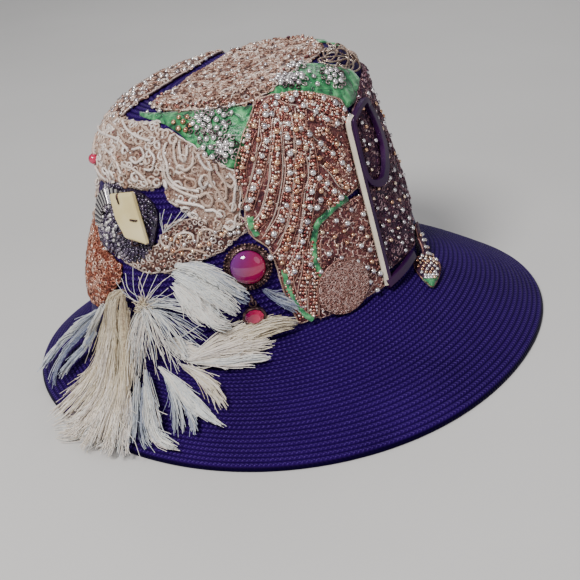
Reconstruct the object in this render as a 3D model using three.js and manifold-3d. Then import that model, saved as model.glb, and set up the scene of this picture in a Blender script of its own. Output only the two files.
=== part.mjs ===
import * as THREE from 'three';
import Module from 'manifold-3d';

// A dress hat of sewn straw braid with a wide, uneven brim. Its crown is covered with a quilt of
// embroidered, beaded and satin patches, and trimmed with a brooch, a cabochon with a drop,
// a bent metal strip and two tufts of feathers.
// Millimetres, +Z up. The brim's edge lies on z = 0 and the display side faces -Y.
// The origin is the middle of the brim's outline.

const wasm = await Module();
wasm.setup();

// Straw crown: an oval that narrows upward into a rounded shoulder and a flat top
const crownHalfLength = 100.2;
const crownHalfWidth = 79.2;
const crownTopHalfLength = 76.4;
const crownTopHalfWidth = 70.8;
const crownHeight = 123.4;
const shoulderRadius = 28;
const crownLean = 17.8;
const crownTiltDegrees = 7.55;
const crownWall = 2.2;

// Straw brim, round its own middle, and where the crown's base stands over it
const brimReach = 144.9;
const brimWall = 2.4;
const brimBow = 2;
const restRingWidth = 3;
const headLineHeight = 29.2;
const crownAside = -18.9;
const crownBack = 15.4;
const jointGap = 0.3;

// Uneven outline of the brim: waves round it, as shares of its reach
const brimWaves = [
  { turns: 2, cosine: 0.0141, sine: 0.0164 },
  { turns: 3, cosine: -0.0068, sine: 0.034 },
];

// Patches sewn on the crown
const patchGap = 0.6;
const patchThick = 2.1;
const satinThick = 1.2;
const seamGap = 0.9;
const copperBulge = 4;
const brocadeBulge = 1.6;
const flapLift = 0.9;

// Bent metal strip, laid over the patches
const stripWide = 5.2;
const stripThick = 3;
const stripGap = 0.5;

// Coiled disc, sewn over the leaf patch
const discRadius = 15;
const discThick = 1.8;
const discGap = 0.45;

// Brooch: a padded bead frame round a step-cut stone
const broochHalfWide = 25;
const broochHalfTall = 19.5;
const broochThick = 3.4;
const broochStoneHalfWide = 8;
const broochStoneHalfTall = 13.6;
const broochStoneThick = 4.2;

// Cabochon in a beaded rim, with a faceted drop hung below it
const cabochonRadius = 9.4;
const cabochonRise = 5.6;
const cabochonRimRadius = 13.8;
const cabochonRimThick = 3.4;
const dropHalfWide = 5.2;
const dropHalfTall = 4.1;
const dropThick = 4;
const dropCupThick = 1.2;
const dropCupWall = 0.7;
const ringWire = 0.5;
const eyeRadius = 1.8;
const linkRadius = 2.4;
const ringHeight = 3.4;
const eyeBite = 0.3;
const stoneGap = 0.35;
const redBeadRadius = 2.4;

// Feather tufts
const knotRadius = 5;
const lockWide = 19;
const lockThick = 3;

// Fineness of the facets
const crownSides = 48;
const brimSides = 60;
const topSides = 40;
const stepDegrees = 8;
const slantDegrees = 6;
const shoulderStep = 0.045;
const wallStep = 0.16;

const radians = THREE.MathUtils.degToRad;
const vector = (x, y, z) => new THREE.Vector3(x, y, z);

// Crown surface. "up" is the share of the way from the base, over the shoulder, to the top's middle.
const wallHeight = crownHeight - shoulderRadius;
const wallInset = (crownHalfLength - crownTopHalfLength + crownHalfWidth - crownTopHalfWidth) / 2;
const wallLength = Math.hypot(wallHeight, wallInset);
const shoulderLength = shoulderRadius * Math.PI / 2;
const topLength = (crownTopHalfLength + crownTopHalfWidth) / 2 - shoulderRadius;
const crownProfile = wallLength + shoulderLength + topLength;
const wallShare = wallLength / crownProfile;
const shoulderShare = (wallLength + shoulderLength) / crownProfile;

const crownPlace = new THREE.Matrix4()
  .makeTranslation(crownAside, crownBack, headLineHeight)
  .multiply(new THREE.Matrix4().makeRotationY(-radians(crownTiltDegrees)));

function crownPoint(degrees, up, off) {
  const angle = radians(degrees);
  const wall = Math.min(up / wallShare, 1);
  const bend = THREE.MathUtils.clamp((up - wallShare) / (shoulderShare - wallShare), 0, 1) * Math.PI / 2;
  const top = THREE.MathUtils.clamp((up - shoulderShare) / (1 - shoulderShare), 0, 1);
  const inset = (shoulderRadius + off) * (1 - Math.cos(bend));
  const halfLength = crownHalfLength + (crownTopHalfLength - crownHalfLength) * wall + off - inset;
  const halfWidth = crownHalfWidth + (crownTopHalfWidth - crownHalfWidth) * wall + off - inset;
  const height = wall * wallHeight + (shoulderRadius + off) * Math.sin(bend);
  const x = crownLean * height / crownHeight + halfLength * (1 - top) * Math.cos(angle);
  const y = halfWidth * (1 - top) * Math.sin(angle);
  return vector(x, y, height).applyMatrix4(crownPlace);
}

// Axes on a surface: across it, up towards the crown's top and straight out of it
function surfaceAxes(pointAt, angle, share, shareUp) {
  const small = 0.2;
  const step = shareUp * small / 100;
  const across = pointAt(angle + small, share).sub(pointAt(angle - small, share));
  const perDegree = across.length() / (2 * small);
  const rise = pointAt(angle, share + step).sub(pointAt(angle, share - step));
  across.normalize();
  const out = across.clone().cross(rise).normalize();
  return { origin: pointAt(angle, share), across, up: out.clone().cross(across), out, perDegree };
}

function crownAxes(place) {
  return surfaceAxes((angle, up) => crownPoint(angle, up, 0), place.angle, place.up, 1);
}

// A point that lies across and up from a place, in millimetres along the bent surface
function crownSpot(place, axes, across, up, off) {
  return crownPoint(place.angle + across / axes.perDegree, place.up + up / crownProfile, off);
}

// Brim surface. "out" runs from the crown's foot, 0, to the brim's edge, 1.
function brimEdge(degrees) {
  const angle = radians(degrees);
  const waves = brimWaves.reduce(
    (sum, wave) => sum + wave.cosine * Math.cos(wave.turns * angle) + wave.sine * Math.sin(wave.turns * angle),
    1,
  );
  return vector(Math.cos(angle), Math.sin(angle), 0).multiplyScalar(brimReach * waves);
}

function crownFoot(degrees, inward, drop) {
  const angle = radians(degrees);
  const x = (crownHalfLength - inward) * Math.cos(angle);
  const y = (crownHalfWidth - inward) * Math.sin(angle);
  return vector(x, y, -drop).applyMatrix4(crownPlace);
}

function brimPoint(degrees, out, lift) {
  const foot = crownFoot(degrees, 0, jointGap);
  const edge = brimEdge(degrees).setZ(brimWall);
  const point = foot.lerp(edge, out);
  point.z += brimBow * Math.sin(Math.PI * Math.min(out, 1)) + lift;
  return point;
}

// Closed skins, from rings of points that run the same way round. A ring of one point is a pole.
function geometryOf(vertices, triangles) {
  const geometry = new THREE.BufferGeometry();
  geometry.setAttribute('position', new THREE.Float32BufferAttribute(vertices.flatMap((v) => v.toArray()), 3));
  const volume = triangles.reduce(
    (sum, [a, b, c]) => sum + vertices[a].dot(vertices[b].clone().cross(vertices[c])),
    0,
  );
  geometry.setIndex(triangles.flatMap(([a, b, c]) => (volume > 0 ? [a, b, c] : [a, c, b])));
  return geometry;
}

function skin(rings, joined = false) {
  const vertices = rings.flat();
  const starts = [];
  rings.reduce((start, ring, i) => {
    starts[i] = start;
    return start + ring.length;
  }, 0);
  const triangles = [];
  const bands = joined ? rings.length : rings.length - 1;
  for (let i = 0; i < bands; i += 1) {
    const j = (i + 1) % rings.length;
    const count = Math.max(rings[i].length, rings[j].length);
    for (let k = 0; k < count; k += 1) {
      const next = (k + 1) % count;
      const low = (n) => starts[i] + (rings[i].length > 1 ? n : 0);
      const high = (n) => starts[j] + (rings[j].length > 1 ? n : 0);
      const [a, b, c, d] = [low(k), low(next), high(next), high(k)];
      const turned = vertices[b].distanceTo(vertices[d]) < vertices[a].distanceTo(vertices[c]) - 1e-6;
      const pair = turned ? [[a, b, d], [b, c, d]] : [[a, b, c], [a, c, d]];
      triangles.push(...pair.filter((corners) => new Set(corners).size === 3));
    }
  }
  if (!joined) {
    closeEnd(triangles, starts[0], rings[0].length, true);
    closeEnd(triangles, starts[rings.length - 1], rings[rings.length - 1].length, false);
  }
  return geometryOf(vertices, triangles);
}

// Closes a flat ring whose second half runs back beside its first half
function closeEnd(triangles, start, count, first) {
  for (let k = 0; k < count / 2 - 1; k += 1) {
    const [a, b, c, d] = [k, k + 1, count - 2 - k, count - 1 - k].map((n) => start + n);
    if (first) triangles.push([a, c, b], [a, d, c]);
    else triangles.push([a, b, c], [a, c, d]);
  }
}

function toManifold(geometry) {
  return new wasm.Manifold(new wasm.Mesh({
    numProp: 3,
    vertProperties: new Float32Array(geometry.attributes.position.array),
    triVerts: new Uint32Array(geometry.index.array),
  }));
}

function fromManifold(solid) {
  const { vertProperties, triVerts, numProp } = solid.getMesh();
  const geometry = new THREE.BufferGeometry();
  const positions = [];
  for (let i = 0; i < vertProperties.length; i += numProp) positions.push(...vertProperties.slice(i, i + 3));
  geometry.setAttribute('position', new THREE.Float32BufferAttribute(positions, 3));
  geometry.setIndex([...triVerts]);
  return geometry;
}

function fuse(geometries) {
  return fromManifold(geometries.map(toManifold).reduce((solid, next) => solid.add(next)));
}

const range = (count) => Array.from({ length: count }, (_, i) => i);

// Straw crown and brim
function strawCrown() {
  const levels = (wallSteps, shoulderSteps) => [
    ...range(wallSteps).map((i) => wallShare * i / wallSteps),
    ...range(shoulderSteps + 1).map((i) => THREE.MathUtils.lerp(wallShare, shoulderShare, i / shoulderSteps)),
  ];
  const ringAt = (up, off) => range(crownSides).map((k) => crownPoint(k * 360 / crownSides, up, off));
  return skin([
    [crownPoint(0, 1, -crownWall)],
    ...levels(1, 4).reverse().map((up) => ringAt(up, -crownWall)),
    ...levels(2, 6).map((up) => ringAt(up, 0)),
    [crownPoint(0, 1, 0)],
  ]);
}

function strawBrim() {
  const outs = [0, 0.33, 0.67, 1];
  const ringOf = (pointAt) => range(brimSides).map((k) => pointAt(k * 360 / brimSides));
  const top = outs.map((out) => ringOf((degrees) => brimPoint(degrees, out, 0)));
  const edge = ringOf((degrees) => brimEdge(degrees));
  const ringInside = ringOf((degrees) => {
    const rim = brimEdge(degrees);
    return rim.multiplyScalar(1 - restRingWidth / rim.length());
  });
  const under = outs.slice(0, -1).reverse().map((out) => ringOf((degrees) => {
    const foot = crownFoot(degrees, 0, jointGap + brimWall);
    const inner = brimEdge(degrees);
    inner.multiplyScalar(1 - restRingWidth / inner.length());
    const point = foot.lerp(inner, out);
    point.z += brimBow * Math.sin(Math.PI * out);
    return point;
  }));
  const mouthLow = ringOf((degrees) => crownFoot(degrees, crownWall, jointGap + brimWall));
  const mouthHigh = ringOf((degrees) => crownFoot(degrees, crownWall, jointGap));
  return skin([mouthHigh, ...top, edge, ringInside, ...under, mouthLow], true);
}

// Patches: rows up the crown, each from one angle to another
function levelsOf(rows) {
  const levels = [];
  rows.slice(0, -1).forEach((row, i) => {
    const next = rows[i + 1];
    const step = next.up > wallShare ? shoulderStep : wallStep;
    const slant = Math.max(Math.abs(next.from - row.from), Math.abs(next.to - row.to));
    const count = Math.ceil(Math.max((next.up - row.up) / step, slant / slantDegrees) - 1e-6);
    range(count).forEach((k) => {
      const share = k / count;
      levels.push({
        up: THREE.MathUtils.lerp(row.up, next.up, share),
        from: THREE.MathUtils.lerp(row.from, next.from, share),
        to: THREE.MathUtils.lerp(row.to, next.to, share),
      });
    });
  });
  levels.push(rows[rows.length - 1]);
  return levels;
}

// Angles that a patch spans at a height, and how far it bulges at a place on it
function spanAt(rows, up) {
  const next = Math.max(rows.findIndex((row) => row.up >= up), 1);
  const [below, above] = [rows[next - 1], rows[next]];
  const share = (up - below.up) / (above.up - below.up);
  return {
    from: THREE.MathUtils.lerp(below.from, above.from, share),
    to: THREE.MathUtils.lerp(below.to, above.to, share),
  };
}

function riseAt(rows, bulge, { angle, up }) {
  const low = rows[0].up;
  const high = rows[rows.length - 1].up;
  const { from, to } = spanAt(rows, up);
  return bulge * Math.sin(Math.PI * (up - low) / (high - low)) * Math.sin(Math.PI * (angle - from) / (to - from));
}

function patch(rows, thick, bulge = 0) {
  const seam = seamGap / 2;
  const low = rows[0].up + seam / crownProfile;
  const high = rows[rows.length - 1].up - seam / crownProfile;
  const widest = Math.max(...rows.map((row) => row.to - row.from));
  const columns = Math.max(2, Math.ceil(widest / stepDegrees));
  const rings = levelsOf(rows).map((level) => {
    const up = THREE.MathUtils.clamp(level.up, low, high);
    const { perDegree } = crownAxes({ angle: (level.from + level.to) / 2, up });
    const inset = seam / perDegree;
    const angles = range(columns + 1).map((k) => (
      THREE.MathUtils.lerp(level.from + inset, level.to - inset, k / columns)
    ));
    const front = angles.map((angle) => (
      crownPoint(angle, up, patchGap + thick + riseAt(rows, bulge, { angle, up }))
    ));
    const back = angles.reverse().map((angle) => crownPoint(angle, up, patchGap));
    return [...front, ...back];
  });
  return skin(rings);
}

// Top patch: sectors round the middle of the crown's top, each down to its own reach
function topPatch(sectors, thick) {
  const reachAt = (degrees) => {
    const i = sectors.findIndex((sector) => sector.angle > degrees);
    const [before, after] = [sectors[i - 1], sectors[i]];
    const share = (degrees - before.angle) / (after.angle - before.angle);
    return THREE.MathUtils.lerp(before.reach, after.reach, share);
  };
  const first = sectors[0].angle;
  const steps = 3;
  const ringAt = (step, off) => range(topSides).map((k) => {
    const degrees = first + k * 360 / topSides;
    const reach = reachAt(degrees) + seamGap / 2 / crownProfile;
    const flat = Math.max(reach, shoulderShare) + 0.02;
    return crownPoint(degrees, THREE.MathUtils.lerp(flat, reach, step / steps), off);
  });
  return skin([
    [crownPoint(0, 1, patchGap)],
    ...range(steps + 1).map((step) => ringAt(step, patchGap)),
    ...range(steps + 1).reverse().map((step) => ringAt(step, patchGap + thick)),
    [crownPoint(0, 1, patchGap + thick)],
  ]);
}

// Openwork: a patch of crossed wires with a hole between each pair of wires
function openwork(rows, thick, holesAcross, holesUp) {
  const whole = toManifold(patch(rows, thick));
  const cutters = [];
  const low = rows[0].up;
  const high = rows[rows.length - 1].up;
  range(holesUp).forEach((i) => range(holesAcross).forEach((j) => {
    const up = THREE.MathUtils.lerp(low, high, (i + 0.5) / holesUp);
    const { from, to } = spanAt(rows, up);
    const place = { angle: THREE.MathUtils.lerp(from, to, (j + 0.5) / holesAcross), up };
    const axes = crownAxes(place);
    const holeWide = (to - from) * axes.perDegree / holesAcross * 0.31;
    const holeTall = (high - low) * crownProfile / holesUp * 0.31;
    cutters.push(boss(place, oval(6), { wide: holeWide, tall: holeTall }, [
      { reach: 0, off: patchGap - 1 },
      { reach: 1, off: patchGap - 1 },
      { reach: 1, off: patchGap + thick + 2 },
      { reach: 0, off: patchGap + thick + 2 },
    ]));
  }));
  return fromManifold(cutters.map(toManifold).reduce((solid, cutter) => solid.subtract(cutter), whole));
}

// Bosses: rings of an outline, each at its own reach and height off the crown
function oval(sides, power = 2) {
  return range(sides).map((k) => {
    const angle = 2 * Math.PI * k / sides;
    const bend = (value) => Math.sign(value) * Math.abs(value) ** (2 / power);
    return { x: bend(Math.cos(angle)), y: bend(Math.sin(angle)) };
  });
}

function boss(place, outline, half, tiers, flat = false, turn = 0) {
  const axes = crownAxes(place);
  const cos = Math.cos(radians(turn));
  const sin = Math.sin(radians(turn));
  const spot = (x, y, off) => {
    const across = x * cos - y * sin;
    const up = x * sin + y * cos;
    if (!flat) return crownSpot(place, axes, across, up, off);
    return axes.origin.clone()
      .addScaledVector(axes.across, across)
      .addScaledVector(axes.up, up)
      .addScaledVector(axes.out, off);
  };
  return skin(tiers.map(({ reach, off }) => (
    reach === 0
      ? [spot(0, 0, off)]
      : outline.map(({ x, y }) => spot(x * half.wide * reach, y * half.tall * reach, off))
  )));
}

// Small wire ring that stands or lies at a place on the crown
function wireRing(place, radius, standing) {
  const axes = crownAxes(place);
  const centre = axes.origin.clone().addScaledVector(axes.out, ringHeight);
  const side = standing ? axes.out : axes.across;
  const axle = standing ? axes.across : axes.out;
  const rings = range(12).map((i) => {
    const angle = 2 * Math.PI * i / 12;
    const spoke = axes.up.clone().multiplyScalar(Math.cos(angle)).addScaledVector(side, Math.sin(angle));
    return range(6).map((k) => {
      const round = 2 * Math.PI * k / 6;
      return centre.clone()
        .addScaledVector(spoke, radius + ringWire * Math.cos(round))
        .addScaledVector(axle, ringWire * Math.sin(round));
    });
  });
  return skin(rings, true);
}

// Quilt of patches. Neighbours share the same seam points, in degrees round and shares up.
const patchRows = {
  front_patch: [
    { up: 0.02, from: -76.5, to: -71.5 },
    { up: 0.14, from: -80, to: -70 },
    { up: 0.22, from: -81, to: -69.5 },
    { up: 0.27, from: -82, to: -67 },
    { up: 0.305, from: -86, to: -62 },
    { up: 0.33, from: -88.5, to: -43 },
    { up: 0.48, from: -89, to: -41 },
    { up: 0.54, from: -87, to: -38 },
    { up: 0.58, from: -84.5, to: -41 },
    { up: 0.62, from: -81.5, to: -49 },
    { up: 0.66, from: -78.5, to: -63 },
    { up: 0.68, from: -77.5, to: -70 },
  ],
  leaf_patch: [
    { up: 0.012, from: -70.5, to: -45 },
    { up: 0.14, from: -69, to: -44.5 },
    { up: 0.22, from: -68.5, to: -44 },
    { up: 0.27, from: -64, to: -43.5 },
    { up: 0.305, from: -56, to: -45 },
  ],
  right_patch: [
    { up: 0.05, from: -43.5, to: -22 },
    { up: 0.12, from: -43.5, to: -14 },
    { up: 0.22, from: -43, to: 4 },
    { up: 0.33, from: -42, to: 10 },
    { up: 0.48, from: -40.5, to: 11 },
    { up: 0.54, from: -31, to: 9 },
    { up: 0.585, from: -18, to: 7 },
  ],
  green_satin_right: [
    { up: 0.545, from: -36.5, to: -31.5 },
    { up: 0.58, from: -40, to: -19 },
    { up: 0.62, from: -48, to: -19.5 },
    { up: 0.66, from: -62, to: -25 },
    { up: 0.68, from: -69, to: -28 },
    { up: 0.71, from: -62, to: -32 },
    { up: 0.745, from: -50, to: -37.5 },
  ],
  green_satin_left: [
    { up: 0.515, from: -92.5, to: -89 },
    { up: 0.54, from: -96.5, to: -87.5 },
    { up: 0.58, from: -103, to: -85 },
    { up: 0.61, from: -109, to: -82.5 },
    { up: 0.65, from: -119, to: -79.5 },
    { up: 0.68, from: -124, to: -78 },
  ],
  brocade_swirl: [
    { up: 0.385, from: -97, to: -93.5 },
    { up: 0.42, from: -105, to: -91 },
    { up: 0.48, from: -117.5, to: -89.5 },
    { up: 0.51, from: -118, to: -91.5 },
    { up: 0.54, from: -118.5, to: -97 },
    { up: 0.58, from: -119.5, to: -103.5 },
    { up: 0.61, from: -121, to: -109.5 },
    { up: 0.65, from: -123, to: -119.5 },
  ],
  brocade_fine: [
    { up: 0.525, from: -181.5, to: -119 },
    { up: 0.58, from: -182.5, to: -120 },
    { up: 0.61, from: -183.5, to: -121.5 },
    { up: 0.65, from: -181, to: -123.5 },
    { up: 0.675, from: -177, to: -127 },
  ],
  copper_patch: [
    { up: 0.12, from: -178, to: -157 },
    { up: 0.17, from: -180, to: -149 },
    { up: 0.22, from: -181, to: -143 },
    { up: 0.27, from: -180.5, to: -142.5 },
    { up: 0.29, from: -180, to: -150 },
    { up: 0.31, from: -179, to: -161 },
    { up: 0.35, from: -177, to: -164 },
  ],
  scallop_patch: [
    { up: 0.285, from: -121, to: -100.5 },
    { up: 0.31, from: -122, to: -99 },
    { up: 0.325, from: -121.5, to: -89.5 },
    { up: 0.37, from: -120, to: -90 },
  ],
  shoulder_patch: [
    { up: 0.5, from: 100, to: 176 },
    { up: 0.6, from: 96, to: 174.5 },
    { up: 0.68, from: 92, to: 177 },
    { up: 0.72, from: 92, to: 184 },
    { up: 0.77, from: 94, to: 168 },
  ],
  back_brocade: [
    { up: 0.03, from: 100, to: 168 },
    { up: 0.18, from: 98, to: 174 },
    { up: 0.34, from: 96, to: 174 },
    { up: 0.47, from: 98, to: 172 },
  ],
  back_leaf: [
    { up: 0.03, from: 24, to: 88 },
    { up: 0.12, from: 20, to: 92 },
    { up: 0.26, from: 12, to: 90 },
  ],
  back_gold: [
    { up: 0.29, from: 13.5, to: 89 },
    { up: 0.48, from: 14, to: 88 },
    { up: 0.62, from: 12, to: 84 },
  ],
  back_satin: [
    { up: 0.64, from: 13, to: 80 },
    { up: 0.68, from: 15, to: 78 },
    { up: 0.72, from: 20, to: 72 },
  ],
};

const wireworkRows = [
  { up: 0.6, from: -17, to: 3 },
  { up: 0.64, from: -21, to: 8 },
  { up: 0.68, from: -26, to: 10 },
  { up: 0.72, from: -31, to: 8 },
];

const topSectors = [
  { angle: -180, reach: 0.815 },
  { angle: -164, reach: 0.775 },
  { angle: -147, reach: 0.69 },
  { angle: -121, reach: 0.69 },
  { angle: -101, reach: 0.69 },
  { angle: -80, reach: 0.69 },
  { angle: -69, reach: 0.71 },
  { angle: -50, reach: 0.755 },
  { angle: -36, reach: 0.755 },
  { angle: -20, reach: 0.735 },
  { angle: 10, reach: 0.735 },
  { angle: 40, reach: 0.74 },
  { angle: 78, reach: 0.76 },
  { angle: 95, reach: 0.795 },
  { angle: 110, reach: 0.84 },
  { angle: 148, reach: 0.85 },
  { angle: 180.1, reach: 0.815 },
];

// Pointed flap: the right patch's tail, bent over the crown's foot and out on the brim
function flapPatch() {
  const stations = [
    { onCrown: true, up: 0.088, angle: -12.5, half: 3.4 },
    { onCrown: true, up: 0.05, angle: -14, half: 4.8 },
    { onCrown: false, out: 0.055, angle: -18.5, half: 7.2 },
    { onCrown: false, out: 0.12, angle: -24.5, half: 7.2 },
    { onCrown: false, out: 0.19, angle: -29, half: 4.4 },
    { onCrown: false, out: 0.235, angle: -31.5, half: 0.6 },
  ];
  const axesAt = ({ onCrown, angle, up, out }) => (
    onCrown
      ? crownAxes({ angle, up })
      : surfaceAxes((round, share) => brimPoint(round, share, 0), angle, out, -1)
  );
  const middle = (station, off) => {
    const axes = axesAt(station);
    return axes.origin.clone().addScaledVector(axes.out, off + patchGap + flapLift);
  };
  const rings = stations.map((station, i) => {
    const ahead = middle(stations[Math.min(i + 1, stations.length - 1)], 0);
    const behind = middle(stations[Math.max(i - 1, 0)], 0);
    const side = ahead.sub(behind).cross(axesAt(station).out).normalize();
    const corner = (share, off) => middle(station, off).addScaledVector(side, share * station.half);
    const outer = [-1, 0, 1].map((share) => corner(share, patchThick));
    const inner = [1, 0, -1].map((share) => corner(share, 0));
    return [...outer, ...inner];
  });
  return skin(rings);
}

// Bent metal strip: an eye at the top, a long shank and a short turned foot
const stripLow = patchGap + patchThick + stripGap;
const stripShank = [{ angle: -41, up: 0.51 }, { angle: -42.5, up: 0.33 }, { angle: -44.5, up: 0.018 }];
const stripFoot = [{ angle: -45.2, up: 0.022 }, { angle: -36, up: 0.032 }, { angle: -28, up: 0.045 }];
const stripEye = [
  { angle: -41, up: 0.5, wide: 1 },
  { angle: -37.5, up: 0.517, wide: 1 },
  { angle: -30, up: 0.522, wide: 1.1 },
  { angle: -25, up: 0.508, wide: 1.5 },
  { angle: -23.5, up: 0.45, wide: 1.9 },
  { angle: -24.5, up: 0.39, wide: 1.9 },
  { angle: -29, up: 0.34, wide: 1.6 },
  { angle: -36, up: 0.318, wide: 1.4 },
  { angle: -42.3, up: 0.335, wide: 1 },
];

function bar(stops, closed, stations) {
  const knots = stops.map(({ angle, up, wide = 1 }) => vector(angle, up * 100, wide));
  const points = new THREE.CatmullRomCurve3(knots, closed).getPoints(closed ? stations : stations - 1);
  if (closed) points.pop();
  const route = points.map((point) => ({ angle: point.x, up: point.y / 100, wide: point.z }));
  const rings = route.map((place, i) => {
    const last = route.length - 1;
    const ahead = closed ? route[(i + 1) % route.length] : route[Math.min(i + 1, last)];
    const behind = closed ? route[(i + last) % route.length] : route[Math.max(i - 1, 0)];
    const { out } = crownAxes(place);
    const low = crownPoint(place.angle, place.up, stripLow);
    const along = crownPoint(ahead.angle, ahead.up, stripLow).sub(crownPoint(behind.angle, behind.up, stripLow));
    const side = along.cross(out).normalize().multiplyScalar(stripWide * place.wide / 2);
    const high = low.clone().addScaledVector(out, stripThick);
    return [low.clone().add(side), high.clone().add(side), high.clone().sub(side), low.clone().sub(side)];
  });
  return skin(rings, closed);
}

// Coiled disc
const discPlace = { angle: -61, up: 0.083 };
const discLow = patchGap + patchThick + discGap;

function coiledDisc() {
  return boss(discPlace, oval(24), { wide: discRadius, tall: discRadius }, [
    { reach: 0, off: discLow },
    { reach: 0.5, off: discLow },
    { reach: 1, off: discLow },
    { reach: 1, off: discLow + discThick * 0.6 },
    { reach: 0.86, off: discLow + discThick },
    { reach: 0.4, off: discLow + discThick },
    { reach: 0, off: discLow + discThick },
  ]);
}

// Brooch
const broochPlace = { angle: -141.5, up: 0.4 };
const broochTurn = -14;
const broochStonePlace = { angle: -134, up: 0.412 };
const broochStoneTurn = 11;

function broochFrame() {
  const low = patchGap;
  const high = patchGap + broochThick;
  return boss(broochPlace, oval(28, 3), { wide: broochHalfWide, tall: broochHalfTall }, [
    { reach: 0, off: low },
    { reach: 0.5, off: low },
    { reach: 1, off: low },
    { reach: 1, off: low + broochThick * 0.5 },
    { reach: 0.9, off: high },
    { reach: 0.5, off: high },
    { reach: 0, off: high },
  ], false, broochTurn);
}

// Step-cut outline: a rectangle with its corners cut off
function stepCut(cutShare) {
  const corner = 1 - cutShare;
  return [
    { x: 1, y: -corner }, { x: 1, y: corner }, { x: corner, y: 1 }, { x: -corner, y: 1 },
    { x: -1, y: corner }, { x: -1, y: -corner }, { x: -corner, y: -1 }, { x: corner, y: -1 },
  ];
}

function broochStone() {
  const low = patchGap + broochThick + stoneGap;
  const half = { wide: broochStoneHalfWide, tall: broochStoneHalfTall };
  return boss(broochStonePlace, stepCut(0.16), half, [
    { reach: 0, off: low },
    { reach: 0.9, off: low },
    { reach: 1, off: low + broochStoneThick * 0.4 },
    { reach: 1, off: low + broochStoneThick * 0.6 },
    { reach: 0.84, off: low + broochStoneThick },
    { reach: 0, off: low + broochStoneThick },
  ], true, broochStoneTurn);
}

// Cabochon, its rim, and the drop on its link
const cabochonPlace = { angle: -90.5, up: 0.232 };
const rimEyePlace = {
  angle: cabochonPlace.angle,
  up: cabochonPlace.up - (cabochonRimRadius + eyeRadius + ringWire - eyeBite) / crownProfile,
};
const linkStep = (linkRadius - ringWire + stoneGap) / crownProfile;
const linkPlace = { angle: rimEyePlace.angle, up: rimEyePlace.up - linkStep };
const dropEyePlace = { angle: linkPlace.angle, up: linkPlace.up - linkStep };
const dropCupHalfTall = dropHalfTall + stoneGap + dropCupWall;
const dropPlace = {
  angle: dropEyePlace.angle,
  up: dropEyePlace.up - (dropCupHalfTall + eyeRadius + ringWire - eyeBite) / crownProfile,
};

function cabochonRim() {
  const high = patchGap + cabochonRimThick;
  const seat = (cabochonRadius + stoneGap) / cabochonRimRadius;
  const seatFloor = patchGap + 1;
  const rim = boss(cabochonPlace, oval(24), { wide: cabochonRimRadius, tall: cabochonRimRadius }, [
    { reach: 0, off: patchGap },
    { reach: 0.95, off: patchGap },
    { reach: 1, off: patchGap + cabochonRimThick * 0.3 },
    { reach: 1, off: patchGap + cabochonRimThick * 0.92 },
    { reach: 0.93, off: high },
    { reach: seat, off: high },
    { reach: seat, off: seatFloor },
    { reach: 0, off: seatFloor },
  ], true);
  return fuse([rim, wireRing(rimEyePlace, eyeRadius, false)]);
}

function cabochonStone() {
  const low = patchGap + 1 + stoneGap;
  const high = low + cabochonRise + 1;
  const dome = range(4).map((i) => {
    const angle = Math.PI / 2 * i / 4;
    return { reach: Math.cos(angle), off: low + 1 + cabochonRise * Math.sin(angle) };
  });
  return boss(cabochonPlace, oval(24), { wide: cabochonRadius, tall: cabochonRadius }, [
    { reach: 0, off: low },
    { reach: 1, off: low },
    ...dome,
    { reach: 0, off: high },
  ], true);
}

const dropLow = patchGap + 0.9;

function dropCup() {
  const seat = 1 + stoneGap / dropHalfTall;
  const wall = dropCupHalfTall / dropHalfTall;
  const cup = boss(dropPlace, oval(10), { wide: dropHalfWide, tall: dropHalfTall }, [
    { reach: 0, off: dropLow },
    { reach: wall, off: dropLow },
    { reach: wall, off: dropLow + dropCupThick + dropThick * 0.45 },
    { reach: seat, off: dropLow + dropCupThick + dropThick * 0.45 },
    { reach: seat, off: dropLow + dropCupThick },
    { reach: 0, off: dropLow + dropCupThick },
  ], true);
  return fuse([cup, wireRing(dropEyePlace, eyeRadius, false)]);
}

function dropStone() {
  const low = dropLow + dropCupThick + stoneGap;
  return boss(dropPlace, oval(10), { wide: dropHalfWide, tall: dropHalfTall }, [
    { reach: 0, off: low },
    { reach: 0.75, off: low + 0.4 },
    { reach: 1, off: low + dropThick * 0.45 },
    { reach: 0.62, off: low + dropThick },
    { reach: 0, off: low + dropThick },
  ], true);
}

const redBeadPlace = { angle: -165, up: 0.55 };

function redBead() {
  const rise = riseAt(patchRows.brocade_fine, brocadeBulge, redBeadPlace);
  const low = patchGap + patchThick + rise + stoneGap;
  const tiers = range(7).map((i) => {
    const angle = Math.PI * i / 6;
    const reach = i === 0 || i === 6 ? 0 : Math.sin(angle);
    return { reach, off: low + redBeadRadius * (1 - Math.cos(angle)) };
  });
  return boss(redBeadPlace, oval(12), { wide: redBeadRadius, tall: redBeadRadius }, tiers, true);
}

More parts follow.
